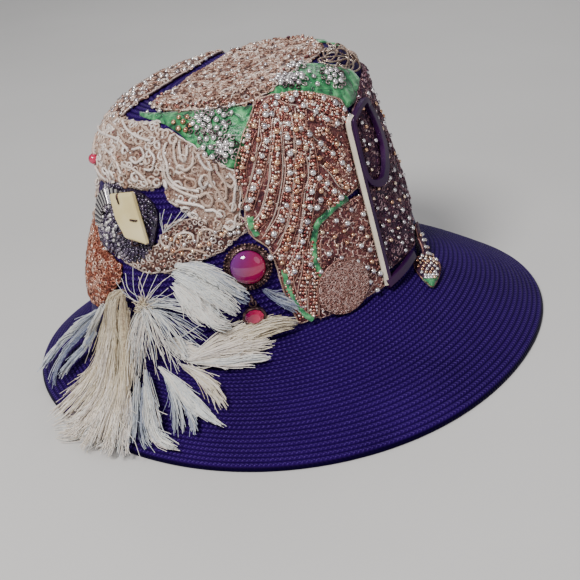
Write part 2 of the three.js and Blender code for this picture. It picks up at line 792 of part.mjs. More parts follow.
// Feather locks: flat tapered strips from a knot on the crown, out over the brim.
// "wide" is a share of the lock's width.
const lowerKnot = { angle: -128, up: 0.165 };
const lowerLocks = [
  { wide: 0.8, route: [{ angle: -148, out: 0.12, lift: 17 }, { angle: -166, out: 0.5, lift: 8 }, { angle: -171, out: 1.02, lift: 5 }] },
  { wide: 1, route: [{ angle: -140, out: 0.1, lift: 18 }, { angle: -152, out: 0.6, lift: 10 }, { angle: -156, out: 1.2, lift: 4 }] },
  { wide: 1.1, route: [{ angle: -136, out: 0.12, lift: 19 }, { angle: -144, out: 0.62, lift: 11 }, { angle: -146, out: 1.2, lift: 4 }] },
  { wide: 1.1, route: [{ angle: -133, out: 0.14, lift: 18 }, { angle: -138, out: 0.66, lift: 11 }, { angle: -137, out: 1.24, lift: 3 }] },
  { wide: 1, route: [{ angle: -130, out: 0.14, lift: 18 }, { angle: -131, out: 0.62, lift: 10 }, { angle: -129, out: 1.16, lift: 4 }] },
  { wide: 0.9, route: [{ angle: -127, out: 0.14, lift: 17 }, { angle: -124, out: 0.54, lift: 9 }, { angle: -117, out: 0.95, lift: 5 }] },
  { wide: 0.8, route: [{ angle: -124, out: 0.12, lift: 16 }, { angle: -117, out: 0.44, lift: 9 }, { angle: -106, out: 0.76, lift: 5 }] },
  { wide: 0.8, route: [{ angle: -121, out: 0.1, lift: 15 }, { angle: -112, out: 0.32, lift: 9 }, { angle: -103, out: 0.58, lift: 5 }] },
  { wide: 0.9, route: [{ angle: -118, out: 0.1, lift: 14 }, { angle: -104, out: 0.23, lift: 9 }, { angle: -89, out: 0.26, lift: 5 }] },
  { wide: 0.8, route: [{ angle: -116, out: 0.1, lift: 13 }, { angle: -98, out: 0.12, lift: 9 }, { angle: -79, out: 0.1, lift: 5 }] },
];
const upperKnot = { angle: -118, up: 0.245 };
const upperLocks = [
  { wide: 0.6, route: [{ angle: -113, up: 0.24, off: 7 }, { angle: -108, up: 0.232, off: 8 }, { angle: -102, up: 0.222, off: 6 }] },
  { wide: 0.7, route: [{ angle: -112, up: 0.21, off: 9 }, { angle: -105, up: 0.185, off: 9 }, { angle: -98, up: 0.165, off: 7 }] },
  { wide: 0.75, route: [{ angle: -112, up: 0.18, off: 10 }, { angle: -105, up: 0.14, off: 10 }, { angle: -97, up: 0.11, off: 8 }] },
  { wide: 0.75, route: [{ angle: -113, up: 0.16, off: 11 }, { angle: -107, up: 0.11, off: 12 }, { angle: -99, up: 0.08, off: 10 }] },
  { wide: 0.7, route: [{ angle: -116, up: 0.16, off: 11 }, { angle: -112, up: 0.12, off: 13 }, { angle: -107, up: 0.09, off: 12 }] },
];

function lockPoint(stop) {
  if (stop.up === undefined) return brimPoint(stop.angle, stop.out, stop.lift);
  return crownPoint(stop.angle, stop.up, stop.off);
}

function lock(knot, { wide, route }) {
  const start = crownPoint(knot.angle, knot.up, patchGap + knotRadius);
  const curve = new THREE.CatmullRomCurve3([start, ...route.map(lockPoint)]);
  const shape = [
    { along: 0, width: 0.14 },
    { along: 0.16, width: 0.3 },
    { along: 0.38, width: 0.72 },
    { along: 0.62, width: 1 },
    { along: 0.84, width: 0.86 },
    { along: 1, width: 0.3 },
  ];
  const rings = shape.map(({ along, width }) => {
    const centre = curve.getPointAt(along);
    const tangent = curve.getTangentAt(along);
    const outward = centre.clone().sub(vector(crownAside, crownBack, centre.z)).normalize();
    const normal = outward.add(vector(0, 0, 1.2)).normalize();
    const side = tangent.clone().cross(normal).normalize();
    const face = side.clone().cross(tangent).normalize();
    const half = lockWide * wide * width / 2;
    const thick = lockThick / 2 * (1 - 0.55 * along);
    const corner = (across, up) => centre.clone().addScaledVector(side, across * half).addScaledVector(face, up * thick);
    return [corner(-1, 0), corner(-0.5, 1), corner(0.5, 1), corner(1, 0), corner(0.5, -1), corner(-0.5, -1)];
  });
  return skin(rings);
}

function tuft(knot, locks) {
  const rounds = range(7).map((i) => {
    const angle = Math.PI * i / 6;
    const reach = i === 0 || i === 6 ? 0 : Math.sin(angle);
    return { reach, off: patchGap + knotRadius * (1 - Math.cos(angle)) };
  });
  const head = boss(knot, oval(12), { wide: knotRadius, tall: knotRadius }, rounds, true);
  return fuse([head, ...locks.map((one) => lock(knot, one))]);
}

// Finishes, by the thing they cover
const finishes = {
  navyStraw: { color: '#21124f', roughness: 0.55, metalness: 0 },
  goldCoil: { color: '#9a7a68', roughness: 0.5, metalness: 0.5 },
  redBrownBeads: { color: '#8c6c64', roughness: 0.45, metalness: 0.4 },
  greenSatin: { color: '#67a46f', roughness: 0.35, metalness: 0 },
  creamBrocade: { color: '#b4a8a2', roughness: 0.5, metalness: 0.1 },
  copperCoil: { color: '#956a60', roughness: 0.45, metalness: 0.6 },
  paleGoldWire: { color: '#b59a80', roughness: 0.35, metalness: 0.8 },
  stripMetal: { color: '#c8bca6', roughness: 0.2, metalness: 1 },
  darkBeads: { color: '#2a2440', roughness: 0.3, metalness: 0.3 },
  yellowStone: { color: '#cfbd8d', roughness: 0.25, metalness: 0 },
  magentaStone: { color: '#8c1b65', roughness: 0.1, metalness: 0 },
  antiqueMetal: { color: '#4a3a44', roughness: 0.4, metalness: 0.9 },
  redStone: { color: '#a01840', roughness: 0.1, metalness: 0 },
  feather: { color: '#c9c2b6', roughness: 0.8, metalness: 0 },
};

const patchFinishes = {
  front_patch: 'redBrownBeads',
  leaf_patch: 'redBrownBeads',
  right_patch: 'redBrownBeads',
  green_satin_right: 'greenSatin',
  green_satin_left: 'greenSatin',
  brocade_swirl: 'creamBrocade',
  brocade_fine: 'creamBrocade',
  copper_patch: 'copperCoil',
  scallop_patch: 'goldCoil',
  shoulder_patch: 'goldCoil',
  back_brocade: 'creamBrocade',
  back_leaf: 'redBrownBeads',
  back_gold: 'goldCoil',
  back_satin: 'greenSatin',
};
const bulges = { copper_patch: copperBulge, brocade_fine: brocadeBulge, brocade_swirl: brocadeBulge };

const hat = new THREE.Group();

function addPiece(name, geometry, finish) {
  geometry.computeVertexNormals();
  const mesh = new THREE.Mesh(geometry, new THREE.MeshStandardMaterial(finishes[finish]));
  mesh.name = name;
  hat.add(mesh);
}

addPiece('straw_crown', strawCrown(), 'navyStraw');
addPiece('straw_brim', strawBrim(), 'navyStraw');
Object.entries(patchRows).forEach(([name, rows]) => {
  const finish = patchFinishes[name];
  const thick = finish === 'greenSatin' ? satinThick : patchThick;
  addPiece(name, patch(rows, thick, bulges[name] ?? 0), finish);
});
addPiece('top_patch', topPatch(topSectors, patchThick), 'goldCoil');
addPiece('wirework', openwork(wireworkRows, satinThick, 5, 3), 'paleGoldWire');
addPiece('flap_patch', flapPatch(), 'redBrownBeads');
addPiece('strip_ornament', fuse([bar(stripEye, true, 24), bar(stripShank, false, 8), bar(stripFoot, false, 5)]), 'stripMetal');
addPiece('coiled_disc', coiledDisc(), 'goldCoil');
addPiece('brooch_frame', broochFrame(), 'darkBeads');
addPiece('brooch_stone', broochStone(), 'yellowStone');
addPiece('cabochon_rim', cabochonRim(), 'antiqueMetal');
addPiece('cabochon_stone', cabochonStone(), 'magentaStone');
addPiece('drop_link', wireRing(linkPlace, linkRadius, true), 'antiqueMetal');
addPiece('drop_cup', dropCup(), 'antiqueMetal');
addPiece('drop_stone', dropStone(), 'redStone');
addPiece('red_bead', redBead(), 'redStone');
addPiece('feather_tuft_lower', tuft(lowerKnot, lowerLocks), 'feather');
addPiece('feather_tuft_upper', tuft(upperKnot, upperLocks), 'feather');

// The origin moves from the brim's own middle to the middle of its outline
const outline = new THREE.Box3().setFromPoints(range(720).map((k) => brimEdge(k / 2)));
hat.position.copy(outline.getCenter(vector(0, 0, 0)).negate());

export default hat;
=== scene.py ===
import math

import bmesh
import bpy
import numpy as np
from mathutils import Matrix, Vector, kdtree, noise
from mathutils.geometry import delaunay_2d_cdt


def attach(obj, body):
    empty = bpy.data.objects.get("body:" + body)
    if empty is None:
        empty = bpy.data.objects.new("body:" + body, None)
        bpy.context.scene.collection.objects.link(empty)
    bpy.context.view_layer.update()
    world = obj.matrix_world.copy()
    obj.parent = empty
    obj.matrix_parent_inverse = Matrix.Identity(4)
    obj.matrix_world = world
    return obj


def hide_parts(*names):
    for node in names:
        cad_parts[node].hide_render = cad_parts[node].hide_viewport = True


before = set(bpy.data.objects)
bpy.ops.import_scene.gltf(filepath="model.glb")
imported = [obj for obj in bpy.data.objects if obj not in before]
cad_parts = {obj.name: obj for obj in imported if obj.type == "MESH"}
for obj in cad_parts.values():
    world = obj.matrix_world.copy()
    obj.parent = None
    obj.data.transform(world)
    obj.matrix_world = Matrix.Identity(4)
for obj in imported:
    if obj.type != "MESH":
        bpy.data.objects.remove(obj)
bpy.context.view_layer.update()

# Sizes of the hat, in millimetres, as the frame has them
MM = 0.001
CROWN_HALF_LENGTH = 100.2
CROWN_HALF_WIDTH = 79.2
CROWN_TOP_HALF_LENGTH = 76.4
CROWN_TOP_HALF_WIDTH = 70.8
CROWN_HEIGHT = 123.4
SHOULDER_RADIUS = 28.0
CROWN_LEAN = 17.8
CROWN_TILT = math.radians(7.55)
CROWN_WALL = 2.2
BRIM_REACH = 144.9
BRIM_WALL = 2.4
BRIM_BOW = 2.0
REST_RING = 3.0
CROWN_FOOT = np.array([-18.9, 15.4, 29.2])
OUTLINE_MIDDLE = np.array([0.5152, 4.7617, 0.0])
JOINT_GAP = 0.3
BRIM_WAVES = ((2, 0.0141, 0.0164), (3, -0.0068, 0.034))
PATCH_GAP = 0.6
PATCH_THICK = 2.1

WALL_HEIGHT = CROWN_HEIGHT - SHOULDER_RADIUS
WALL_INSET = (CROWN_HALF_LENGTH - CROWN_TOP_HALF_LENGTH + CROWN_HALF_WIDTH - CROWN_TOP_HALF_WIDTH) / 2
WALL_LENGTH = math.hypot(WALL_HEIGHT, WALL_INSET)
SHOULDER_LENGTH = SHOULDER_RADIUS * math.pi / 2
TOP_LENGTH = (CROWN_TOP_HALF_LENGTH + CROWN_TOP_HALF_WIDTH) / 2 - SHOULDER_RADIUS
PROFILE = WALL_LENGTH + SHOULDER_LENGTH + TOP_LENGTH
WALL_SHARE = WALL_LENGTH / PROFILE
SHOULDER_SHARE = (WALL_LENGTH + SHOULDER_LENGTH) / PROFILE

rng = np.random.default_rng(41)


# Surfaces of the crown and the brim
def place_on_hat(points):
    cos, sin = math.cos(CROWN_TILT), math.sin(CROWN_TILT)
    x, y, z = points[..., 0], points[..., 1], points[..., 2]
    turned = np.stack([x * cos - z * sin, y, x * sin + z * cos], -1)
    return turned + CROWN_FOOT + OUTLINE_MIDDLE


def spread(*values):
    return np.broadcast_arrays(*(np.asarray(v, float) for v in values))


def crown_point(degrees, up, off=0):
    degrees, up, off = spread(degrees, up, off)
    angle = np.radians(degrees)
    wall = np.minimum(up / WALL_SHARE, 1)
    bend = np.clip((up - WALL_SHARE) / (SHOULDER_SHARE - WALL_SHARE), 0, 1) * math.pi / 2
    top = np.clip((up - SHOULDER_SHARE) / (1 - SHOULDER_SHARE), 0, 1)
    inset = (SHOULDER_RADIUS + off) * (1 - np.cos(bend))
    long = CROWN_HALF_LENGTH + (CROWN_TOP_HALF_LENGTH - CROWN_HALF_LENGTH) * wall + off - inset
    wide = CROWN_HALF_WIDTH + (CROWN_TOP_HALF_WIDTH - CROWN_HALF_WIDTH) * wall + off - inset
    height = wall * WALL_HEIGHT + (SHOULDER_RADIUS + off) * np.sin(bend)
    x = CROWN_LEAN * height / CROWN_HEIGHT + long * (1 - top) * np.cos(angle)
    y = wide * (1 - top) * np.sin(angle)
    return place_on_hat(np.stack([x, y, height], -1))


def unit(vectors):
    return vectors / np.maximum(np.linalg.norm(vectors, axis=-1, keepdims=True), 1e-9)


def crown_axes(degrees, up):
    up = np.clip(np.asarray(up, float), -0.02, 0.985)
    degrees = np.asarray(degrees, float)
    across = unit(crown_point(degrees + 0.2, up) - crown_point(degrees - 0.2, up))
    rise = crown_point(degrees, up + 0.002) - crown_point(degrees, up - 0.002)
    out = unit(np.cross(across, rise))
    return across, np.cross(out, across), out


def brim_edge(degrees):
    angle = np.radians(np.asarray(degrees, float))
    reach = 1 + sum(c * np.cos(n * angle) + s * np.sin(n * angle) for n, c, s in BRIM_WAVES)
    flat = np.stack([np.cos(angle), np.sin(angle), np.zeros_like(angle)], -1)
    return flat * (BRIM_REACH * reach)[..., None] + OUTLINE_MIDDLE


def crown_foot(degrees):
    angle = np.radians(np.asarray(degrees, float))
    x, y = CROWN_HALF_LENGTH * np.cos(angle), CROWN_HALF_WIDTH * np.sin(angle)
    return place_on_hat(np.stack([x, y, np.full_like(angle, -JOINT_GAP)], -1))


def brim_point(degrees, out, lift=0):
    degrees, out, lift = spread(degrees, out, lift)
    foot = crown_foot(degrees)
    edge = brim_edge(degrees) + np.array([0, 0, BRIM_WALL])
    point = foot + (edge - foot) * out[..., None]
    point[..., 2] += BRIM_BOW * np.sin(math.pi * np.clip(out, 0, 1)) + lift
    return point


def smooth_stops(stops, step, closed=False):
    """Points every step along a curve through the stops, whatever each stop holds."""
    stops = np.asarray(stops, float)
    if closed:
        padded = np.concatenate([stops[-1:], stops, stops[:2]])
    else:
        padded = np.concatenate([2 * stops[:1] - stops[1:2], stops, 2 * stops[-1:] - stops[-2:-1]])
    pieces = []
    for a, b, c, d in zip(padded, padded[1:], padded[2:], padded[3:]):
        count = max(int(math.ceil(np.linalg.norm((c - b)[:2]) / step)), 1)
        t = (np.arange(count) / count)[:, None]
        bend, twist = 2 * a - 5 * b + 4 * c - d, 3 * b - a - 3 * c + d
        pieces.append(0.5 * (2 * b + (c - a) * t + bend * t**2 + twist * t**3))
    if not closed:
        pieces.append(stops[-1:])
    return np.concatenate(pieces)


def crown_route(stops, step, closed=False):
    """Points every step along stops of angle, share up and whatever else each stop holds."""
    stops = np.asarray(stops, float)
    scale = np.array([1.5, PROFILE, 10])[:stops.shape[1]]
    return smooth_stops(stops * scale, step, closed) / scale


# Charts: flat maps in millimetres of the crown's side and of its top
class SideChart:
    def __init__(self, middle):
        self.middle = middle
        ups = np.linspace(-0.02, 1, 103)
        step = crown_point(middle + 1, ups) - crown_point(middle - 1, ups)
        self.ups, self.per_degree = ups, np.maximum(np.linalg.norm(step, axis=-1) / 2, 0.15)

    def flat(self, degrees, up):
        scale = np.interp(up, self.ups, self.per_degree)
        return np.stack([(np.asarray(degrees) - self.middle) * scale, np.asarray(up) * PROFILE], -1)

    def round(self, flat):
        up = flat[..., 1] / PROFILE
        return self.middle + flat[..., 0] / np.interp(up, self.ups, self.per_degree), up


class TopChart:
    def flat(self, degrees, up):
        reach, angle = (1 - np.asarray(up)) * PROFILE, np.radians(degrees)
        return np.stack([reach * np.cos(angle), reach * np.sin(angle)], -1)

    def round(self, flat):
        degrees = np.degrees(np.arctan2(flat[..., 1], flat[..., 0]))
        return degrees, 1 - np.linalg.norm(flat, axis=-1) / PROFILE


# Finishes
def node(tree, kind, settings=None, values=(), **inputs):
    made = tree.nodes.new(kind)
    for name, value in (settings or {}).items():
        setattr(made, name, value)
    pairs = [(made.inputs[i], v) for i, v in enumerate(values) if v is not None]
    pairs += [(made.inputs[name.replace("_", " ")], v) for name, v in inputs.items()]
    for socket, value in pairs:
        if isinstance(value, bpy.types.NodeSocket):
            tree.links.new(value, socket)
        else:
            socket.default_value = value
    return made

class Sum:
    """A number in a node tree, worked on as in a plain sum."""

    def __init__(self, tree, socket):
        self.tree, self.socket = tree, socket

    def by(self, operation, *others, clamp=False):
        values = [getattr(value, "socket", value) for value in (self, *others)]
        made = node(self.tree, "ShaderNodeMath", {"operation": operation, "use_clamp": clamp}, values)
        return Sum(self.tree, made.outputs[0])

    def __add__(self, other):
        return self.by("ADD", other)

    def __sub__(self, other):
        return self.by("SUBTRACT", other)

    def __mul__(self, other):
        return self.by("MULTIPLY", other)


class Finish:
    """A material and the words that make its pattern."""

    def __init__(self, name, **sockets):
        self.material = bpy.data.materials.new(name)
        self.material.use_nodes = True
        self.tree = self.material.node_tree
        self.shader = self.tree.nodes["Principled BSDF"]
        self.place = node(self.tree, "ShaderNodeTexCoord").outputs["Object"]
        self.set(**sockets)

    def set(self, **sockets):
        for name, value in sockets.items():
            socket = self.shader.inputs[name.replace("_", " ")]
            if isinstance(value, (Sum, bpy.types.NodeSocket)):
                self.tree.links.new(getattr(value, "socket", value), socket)
            else:
                socket.default_value = value

    def grain(self, scale, detail, distortion=0.0):
        made = node(self.tree, "ShaderNodeTexNoise", Vector=self.place, Scale=scale, Detail=detail,
                    Distortion=distortion)
        return Sum(self.tree, made.outputs["Fac"])

    def ramp(self, factor, stops):
        made = node(self.tree, "ShaderNodeValToRGB", Fac=factor.socket)
        elements = made.color_ramp.elements
        while len(elements) < len(stops):
            elements.new(0.5)
        for element, (at, colour) in zip(elements, stops):
            element.position = at
            element.color = (*colour, 1)
        return made.outputs["Color"]

    def blend(self, factor, first, second):
        made = node(self.tree, "ShaderNodeMix", {"data_type": "RGBA"})
        self.tree.links.new(factor.socket, made.inputs[0])
        for socket, value in ((made.inputs[6], first), (made.inputs[7], second)):
            if isinstance(value, tuple):
                socket.default_value = (*value, 1)
            else:
                self.tree.links.new(value, socket)
        return made.outputs[2]

    def bump(self, height, distance, strength=1.0):
        made = node(self.tree, "ShaderNodeBump", Height=height.socket, Distance=distance, Strength=strength)
        self.set(Normal=made.outputs["Normal"])


def straw_finish():
    glint = (0.5, 0.15, 1.0, 1)
    made = Finish("navy straw braid", Roughness=0.46, Specular_IOR_Level=0.06, Specular_Tint=glint)
    tree = made.tree
    uv = node(tree, "ShaderNodeSeparateXYZ", values=(node(tree, "ShaderNodeTexCoord").outputs["UV"],)).outputs
    along, across = Sum(tree, uv[0]), Sum(tree, uv[1])
    row, share = across.by("FLOOR"), across.by("FRACT")
    side = (share - 0.5).by("ABSOLUTE")
    slanted = along + row * 0.37 + side * 1.3
    plait = (slanted * (2 * math.pi)).by("SINE").by("MULTIPLY_ADD", 0.5, 0.5)
    grain, wide = made.grain(520.0, 2.0), made.grain(22.0, 2.0)
    # Light violet specks on the crests of the plait, mid-row: painted highlight where the braid catches the
    # light
    painted_highlight = plait.by("POWER", 7.0).by("MULTIPLY", side * -2.6 + 1.0, clamp=True)
    painted_highlight = painted_highlight.by("MULTIPLY", grain * 1.7, clamp=True)
    ground = made.ramp(wide, [(0.3, (0.010, 0.0008, 0.050)), (0.7, (0.017, 0.002, 0.080))])
    colour = made.blend(painted_highlight, ground, (0.11, 0.055, 0.30))
    # Near-black at the start of each braid row: painted shade in the groove between rows
    groove = (share * 6.0).by("SMOOTH_MIN", 1.0, 0.1)
    made.set(Base_Color=made.blend(groove, (0.002, 0.0006, 0.014), colour))
    made.bump(plait + grain * 0.6, 0.0003, 0.7)
    return made.material


def thread_finish(name, stops, grain=1.1, metal=0.35, rough=0.5, lift=0.0006, sheen=0.0):
    """Ground of laid thread: shades in a grain of so many millimetres."""
    made = Finish(name, Roughness=rough, Metallic=metal, Sheen_Weight=sheen)
    cells = node(made.tree, "ShaderNodeTexVoronoi", Vector=made.place, Scale=1000 / grain / 1.6)
    cells = Sum(made.tree, cells.outputs["Distance"])
    fine, wide = made.grain(1000 / grain, 3.0, 1.2), made.grain(70.0, 2.0)
    mixed = fine.by("MULTIPLY_ADD", 0.75, wide * 0.35) - cells * 0.12
    made.set(Base_Color=made.ramp(mixed, stops))
    made.bump(fine - cells, lift)
    return made.material


def tinted_finish(name, stops, metal=0.7, rough=0.3, grain=0.0, coat=0.0):
    """Shades by the piece's own tint, for beads, curls, cords and feathers."""
    made = Finish(name, Metallic=metal, Roughness=rough, Coat_Weight=coat)
    tint = node(made.tree, "ShaderNodeAttribute", {"attribute_name": "tint"}).outputs["Fac"]
    fine = made.grain(900.0, 2.0)
    made.set(Base_Color=made.ramp((fine - 0.5).by("MULTIPLY_ADD", 0.35, tint), stops))
    if grain:
        made.bump(fine, grain)
    return made.material


def satin_finish():
    made = Finish("green satin", Roughness=0.3, Sheen_Weight=0.4, Sheen_Roughness=0.4, Anisotropic=0.5)
    wide, fine = made.grain(150.0, 4.0, 1.6), made.grain(1500.0, 1.0)
    # The green runs from near black to bright on the same noise as the bump: painted satin highlights and
    # crease shade over the cloth's own green
    stops = [(0.34, (0.003, 0.045, 0.022)), (0.5, (0.03, 0.23, 0.08)), (0.66, (0.13, 0.48, 0.19))]
    made.set(Base_Color=made.ramp(wide, stops))
    made.bump(fine.by("MULTIPLY_ADD", 0.06, wide), 0.0025, 0.6)
    return made.material


def worn_finish(name, stops, metal, rough, scale, lift, coat=0.0):
    """Hard surfaces: shades and roughness that wander a little, as on worn metal, stone or enamel."""
    made = Finish(name, Metallic=metal, Coat_Weight=coat)
    fine = made.grain(scale, 4.0)
    made.set(Base_Color=made.ramp(fine, stops), Roughness=fine.by("MULTIPLY_ADD", 0.12, rough - 0.06))
    made.bump(fine, lift)
    return made.material


def gem_finish(name, stops, axis, middle, reach):
    """Glass stones, whose colour passes from one shade to another along an axis, in metres: the bright end is
    painted glow of light through the glass.
    """
    made = Finish(
        name, Roughness=0.06, Coat_Weight=1.0, Coat_Roughness=0.03, Subsurface_Weight=0.15,
        Subsurface_Radius=(0.004, 0.001, 0.002), Subsurface_Scale=1.0,
    )
    place = node(made.tree, "ShaderNodeVectorMath", {"operation": "SUBTRACT"}, (made.place, middle))
    along = node(made.tree, "ShaderNodeVectorMath", {"operation": "DOT_PRODUCT"}, (place.outputs[0], axis))
    share = Sum(made.tree, along.outputs["Value"]).by("MULTIPLY_ADD", 0.5 / reach, 0.5)
    made.set(Base_Color=made.ramp(made.grain(160.0, 1.0).by("MULTIPLY_ADD", 0.12, share), stops))
    return made.material


NAVY_STRAW = straw_finish()
BEADED_GROUND = thread_finish("copper and brown thread", [
    (.36, (.04, .006, .014)), (.5, (.15, .038, .042)), (.62, (.32, .135, .11)), (.76, (.55, .36, .29)),
], grain=1.6)
# Darker, more purple copy of the copper and brown ground, for the right side: the purple is the thread's own,
# the extra darkness is painted shade
PURPLE_GROUND_IN_SHADE = thread_finish("brown purple thread", [
    (.36, (.010, .002, .022)), (.5, (.045, .008, .04)), (.62, (.11, .035, .06)), (.76, (.24, .12, .15)),
], grain=1.6)
GOLD_GROUND = thread_finish("gold coil ground", [
    (.35, (.022, .006, .010)), (.5, (.085, .032, .026)), (.62, (.20, .10, .075)), (.76, (.42, .27, .21)),
], grain=1.6)
COPPER_GROUND = thread_finish("copper coil ground", [
    (.36, (.04, .006, .008)), (.5, (.17, .035, .02)), (.62, (.34, .12, .07)), (.76, (.55, .30, .2)),
], grain=1.6)
CREAM_GROUND = thread_finish("cream brocade", [
    (.34, (.07, .028, .022)), (.48, (.20, .11, .08)), (.6, (.40, .28, .22)), (.74, (.62, .51, .45)),
], grain=1.5, metal=.15, rough=.46, lift=.0006, sheen=.15)
GREEN_SATIN = satin_finish()
GOLD_THREAD = tinted_finish("gold thread", [
    (0, (.22, .10, .075)), (.5, (.54, .35, .27)), (1, (.84, .71, .63)),
], metal=.55, rough=.38, grain=.0003)
BROWN_THREAD = tinted_finish("brown thread", [
    (0, (.19, .055, .05)), (.5, (.45, .235, .19)), (1, (.74, .56, .49)),
], metal=.5, rough=.4, grain=.0003)
ROSE_THREAD = tinted_finish("rose gold thread", [
    (0, (.26, .11, .09)), (.5, (.50, .29, .25)), (1, (.76, .56, .51)),
], metal=.5, rough=.4, grain=.0003)
# Darker copy of the brown thread for the right side: partly its own purple, the extra darkness painted shade
PURPLE_THREAD_IN_SHADE = tinted_finish("brown purple cord", [
    (0, (.05, .012, .045)), (.5, (.17, .07, .10)), (1, (.40, .27, .30)),
], metal=.5, rough=.4, grain=.0003)
COPPER_THREAD = tinted_finish("copper thread", [
    (0, (.28, .07, .04)), (.5, (.54, .24, .16)), (1, (.78, .56, .46)),
], metal=.6, rough=.36, grain=.0003)
DARK_THREAD = tinted_finish("dark silver thread", [
    (0, (.08, .05, .06)), (.5, (.30, .23, .24)), (1, (.70, .62, .60)),
], metal=.7, rough=.32)
CREAM_THREAD = tinted_finish("cream cord", [
    (0, (.40, .24, .17)), (.5, (.68, .55, .47)), (1, (.88, .81, .77)),
], metal=.1, rough=.42, grain=.0003)
PALE_THREAD = tinted_finish("pale cord", [
    (0, (.34, .22, .18)), (.5, (.56, .44, .38)), (1, (.74, .66, .62)),
], metal=.4, rough=.4, grain=.0003)
SILVER_BEAD = tinted_finish("silver beads", [
    (0, (.52, .47, .50)), (.5, (.80, .76, .76)), (1, (.96, .94, .94)),
], metal=.9, rough=.2)
GOLD_BEAD = tinted_finish("gold beads", [
    (0, (.60, .31, .19)), (.5, (.88, .57, .36)), (1, (.97, .80, .62)),
], metal=.9, rough=.2)
RANK_BEAD = tinted_finish("gold and copper beads", [
    (0, (.16, .025, .03)), (.3, (.42, .16, .125)), (.6, (.68, .42, .32)), (.85, (.86, .70, .62)),
    (1, (.92, .88, .86)),
], metal=.75, rough=.26)
SEED_BEAD = tinted_finish("mixed seed beads", [
    (0, (.10, .03, .05)), (.25, (.38, .155, .12)), (.55, (.65, .41, .32)),
    (.8, (.70, .60, .56)), (1, (.92, .90, .90)),
], metal=.75, rough=.25)
# Darker copy of the mixed seed beads for the right side: partly their own purple, the extra darkness painted
# shade
PURPLE_SEED_IN_SHADE = tinted_finish("dark purple seed beads", [
    (0, (.03, .008, .04)), (.4, (.20, .07, .10)), (.7, (.48, .30, .27)), (1, (.82, .79, .84)),
], metal=.75, rough=.25)
DARK_BEAD = tinted_finish("dark beads", [
    (0, (.006, .004, .012)), (.6, (.045, .025, .07)), (.85, (.20, .165, .21)), (1, (.72, .69, .67)),
], metal=.35, rough=.16, coat=.6)
BUGLE_BEAD = tinted_finish("silver lined bugles", [
    (0, (.02, .015, .03)), (.45, (.16, .14, .18)), (.6, (.62, .58, .56)), (1, (.85, .82, .78)),
], metal=.7, rough=.18, coat=.5)
PALE_WIRE = tinted_finish("pale gold wire", [
    (0, (.42, .28, .22)), (.5, (.68, .54, .44)), (1, (.84, .76, .70)),
], metal=.8, rough=.28, grain=.0002)
# Pale edge and near-black face of the polished strip: painted reflections, light on the edge and dark on the
# face
STRIP_LIGHT_REFLECTION = worn_finish("strip edge", [(.3, (.66, .57, .44)), (.7, (.86, .79, .66))], .35, .34, 90, .00004)
STRIP_DARK_REFLECTION = worn_finish("strip face", [(.3, (.014, .001, .035)), (.7, (.045, .003, .06))],
                         .3, .34, 60, .00004, coat=.1)
STRIP_RED = worn_finish("strip's red inner side", [(.3, (.10, .002, .03)), (.7, (.26, .012, .06))],
                        .3, .3, 60,
                        .00004, coat=.2)
YELLOW_STONE = worn_finish("yellow stone", [
    (.25, (.54, .42, .17)), (.5, (.68, .56, .27)), (.75, (.78, .68, .39)),
], 0, .22, 55, .00008, coat=.5)
ANTIQUE = worn_finish("darkened metal", [
    (.35, (.03, .014, .02)), (.5, (.10, .055, .055)), (.68, (.34, .22, .19)),
], .85, .34, 420, .0002)
# The feather's darkest blue-grey stops, up to about 0.15, are painted shade on pale feathers; higher stops
# are the feathers' own white, cream, tan and brown
FEATHER = tinted_finish("feather", [
    (0, (.12, .13, .26)), (.15, (.34, .38, .50)), (.3, (.58, .62, .67)), (.42, (.82, .83, .79)),
    (.58, (.88, .80, .74)), (.72, (.82, .74, .60)), (.88, (.66, .56, .38)), (1, (.30, .20, .16)),
], metal=0, rough=.6)
FLOOR = worn_finish("pale floor", [(.3, (.60, .59, .58)), (.7, (.63, .62, .61))], 0, .7, 6, .0001)


def dress(piece, *nodes):
    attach(piece, "root")
    if nodes:
        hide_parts(*nodes)
    return piece


def declare_sheet(piece, width, length, area, rests_on=("crown_braid",)):
    """Flat width, length and area in millimetres. Width and length are not used; the area is only rounded,
    and nothing is declared or kept.
    """
    area = round(float(area) * MM * MM, 7)


def in_scene(name, data):
    made = bpy.data.objects.new(name, data)
    bpy.context.scene.collection.objects.link(made)
    return made


def mesh_of(name, points, edges=(), faces=()):
    mesh = bpy.data.meshes.new(name)
    mesh.from_pydata((np.asarray(points) * MM).tolist(), edges, faces)
    return mesh


def new_piece(name, points, faces, material, uv=None, flat=False):
    """A mesh from points in millimetres. uv holds one pair for each corner of each face."""
    mesh = mesh_of(name, points, faces=faces)
    if uv is not None:
        mesh.uv_layers.new(name="UVMap").data.foreach_set("uv", np.asarray(uv, float).ravel())
    if not flat:
        mesh.polygons.foreach_set("use_smooth", [True] * len(mesh.polygons))
    mesh.materials.append(material)
    return in_scene(name, mesh)


def band(low, high, count):
    """Faces between two rings of so many points, which start at these numbers."""
    return [(low + k, low + (k + 1) % count, high + (k + 1) % count, high + k) for k in range(count)]


def tidy_mesh(piece, merge=0.00001):
    work = bmesh.new()
    work.from_mesh(piece.data)
    bmesh.ops.remove_doubles(work, verts=work.verts, dist=merge)
    bmesh.ops.dissolve_degenerate(work, edges=work.edges, dist=merge)
    bmesh.ops.recalc_face_normals(work, faces=work.faces)
    work.to_mesh(piece.data)
    work.free()


# Geometry Nodes that sew beads on and lay cords
def new_tree(name, sockets):
    tree = bpy.data.node_groups.new(name, "GeometryNodeTree")
    for label, kind in (("Geometry", "Geometry"), *sockets):
        tree.interface.new_socket(label, in_out="INPUT", socket_type="NodeSocket" + kind)
    tree.interface.new_socket("Geometry", in_out="OUTPUT", socket_type="NodeSocketGeometry")
    return tree, tree.nodes.new("NodeGroupInput").outputs


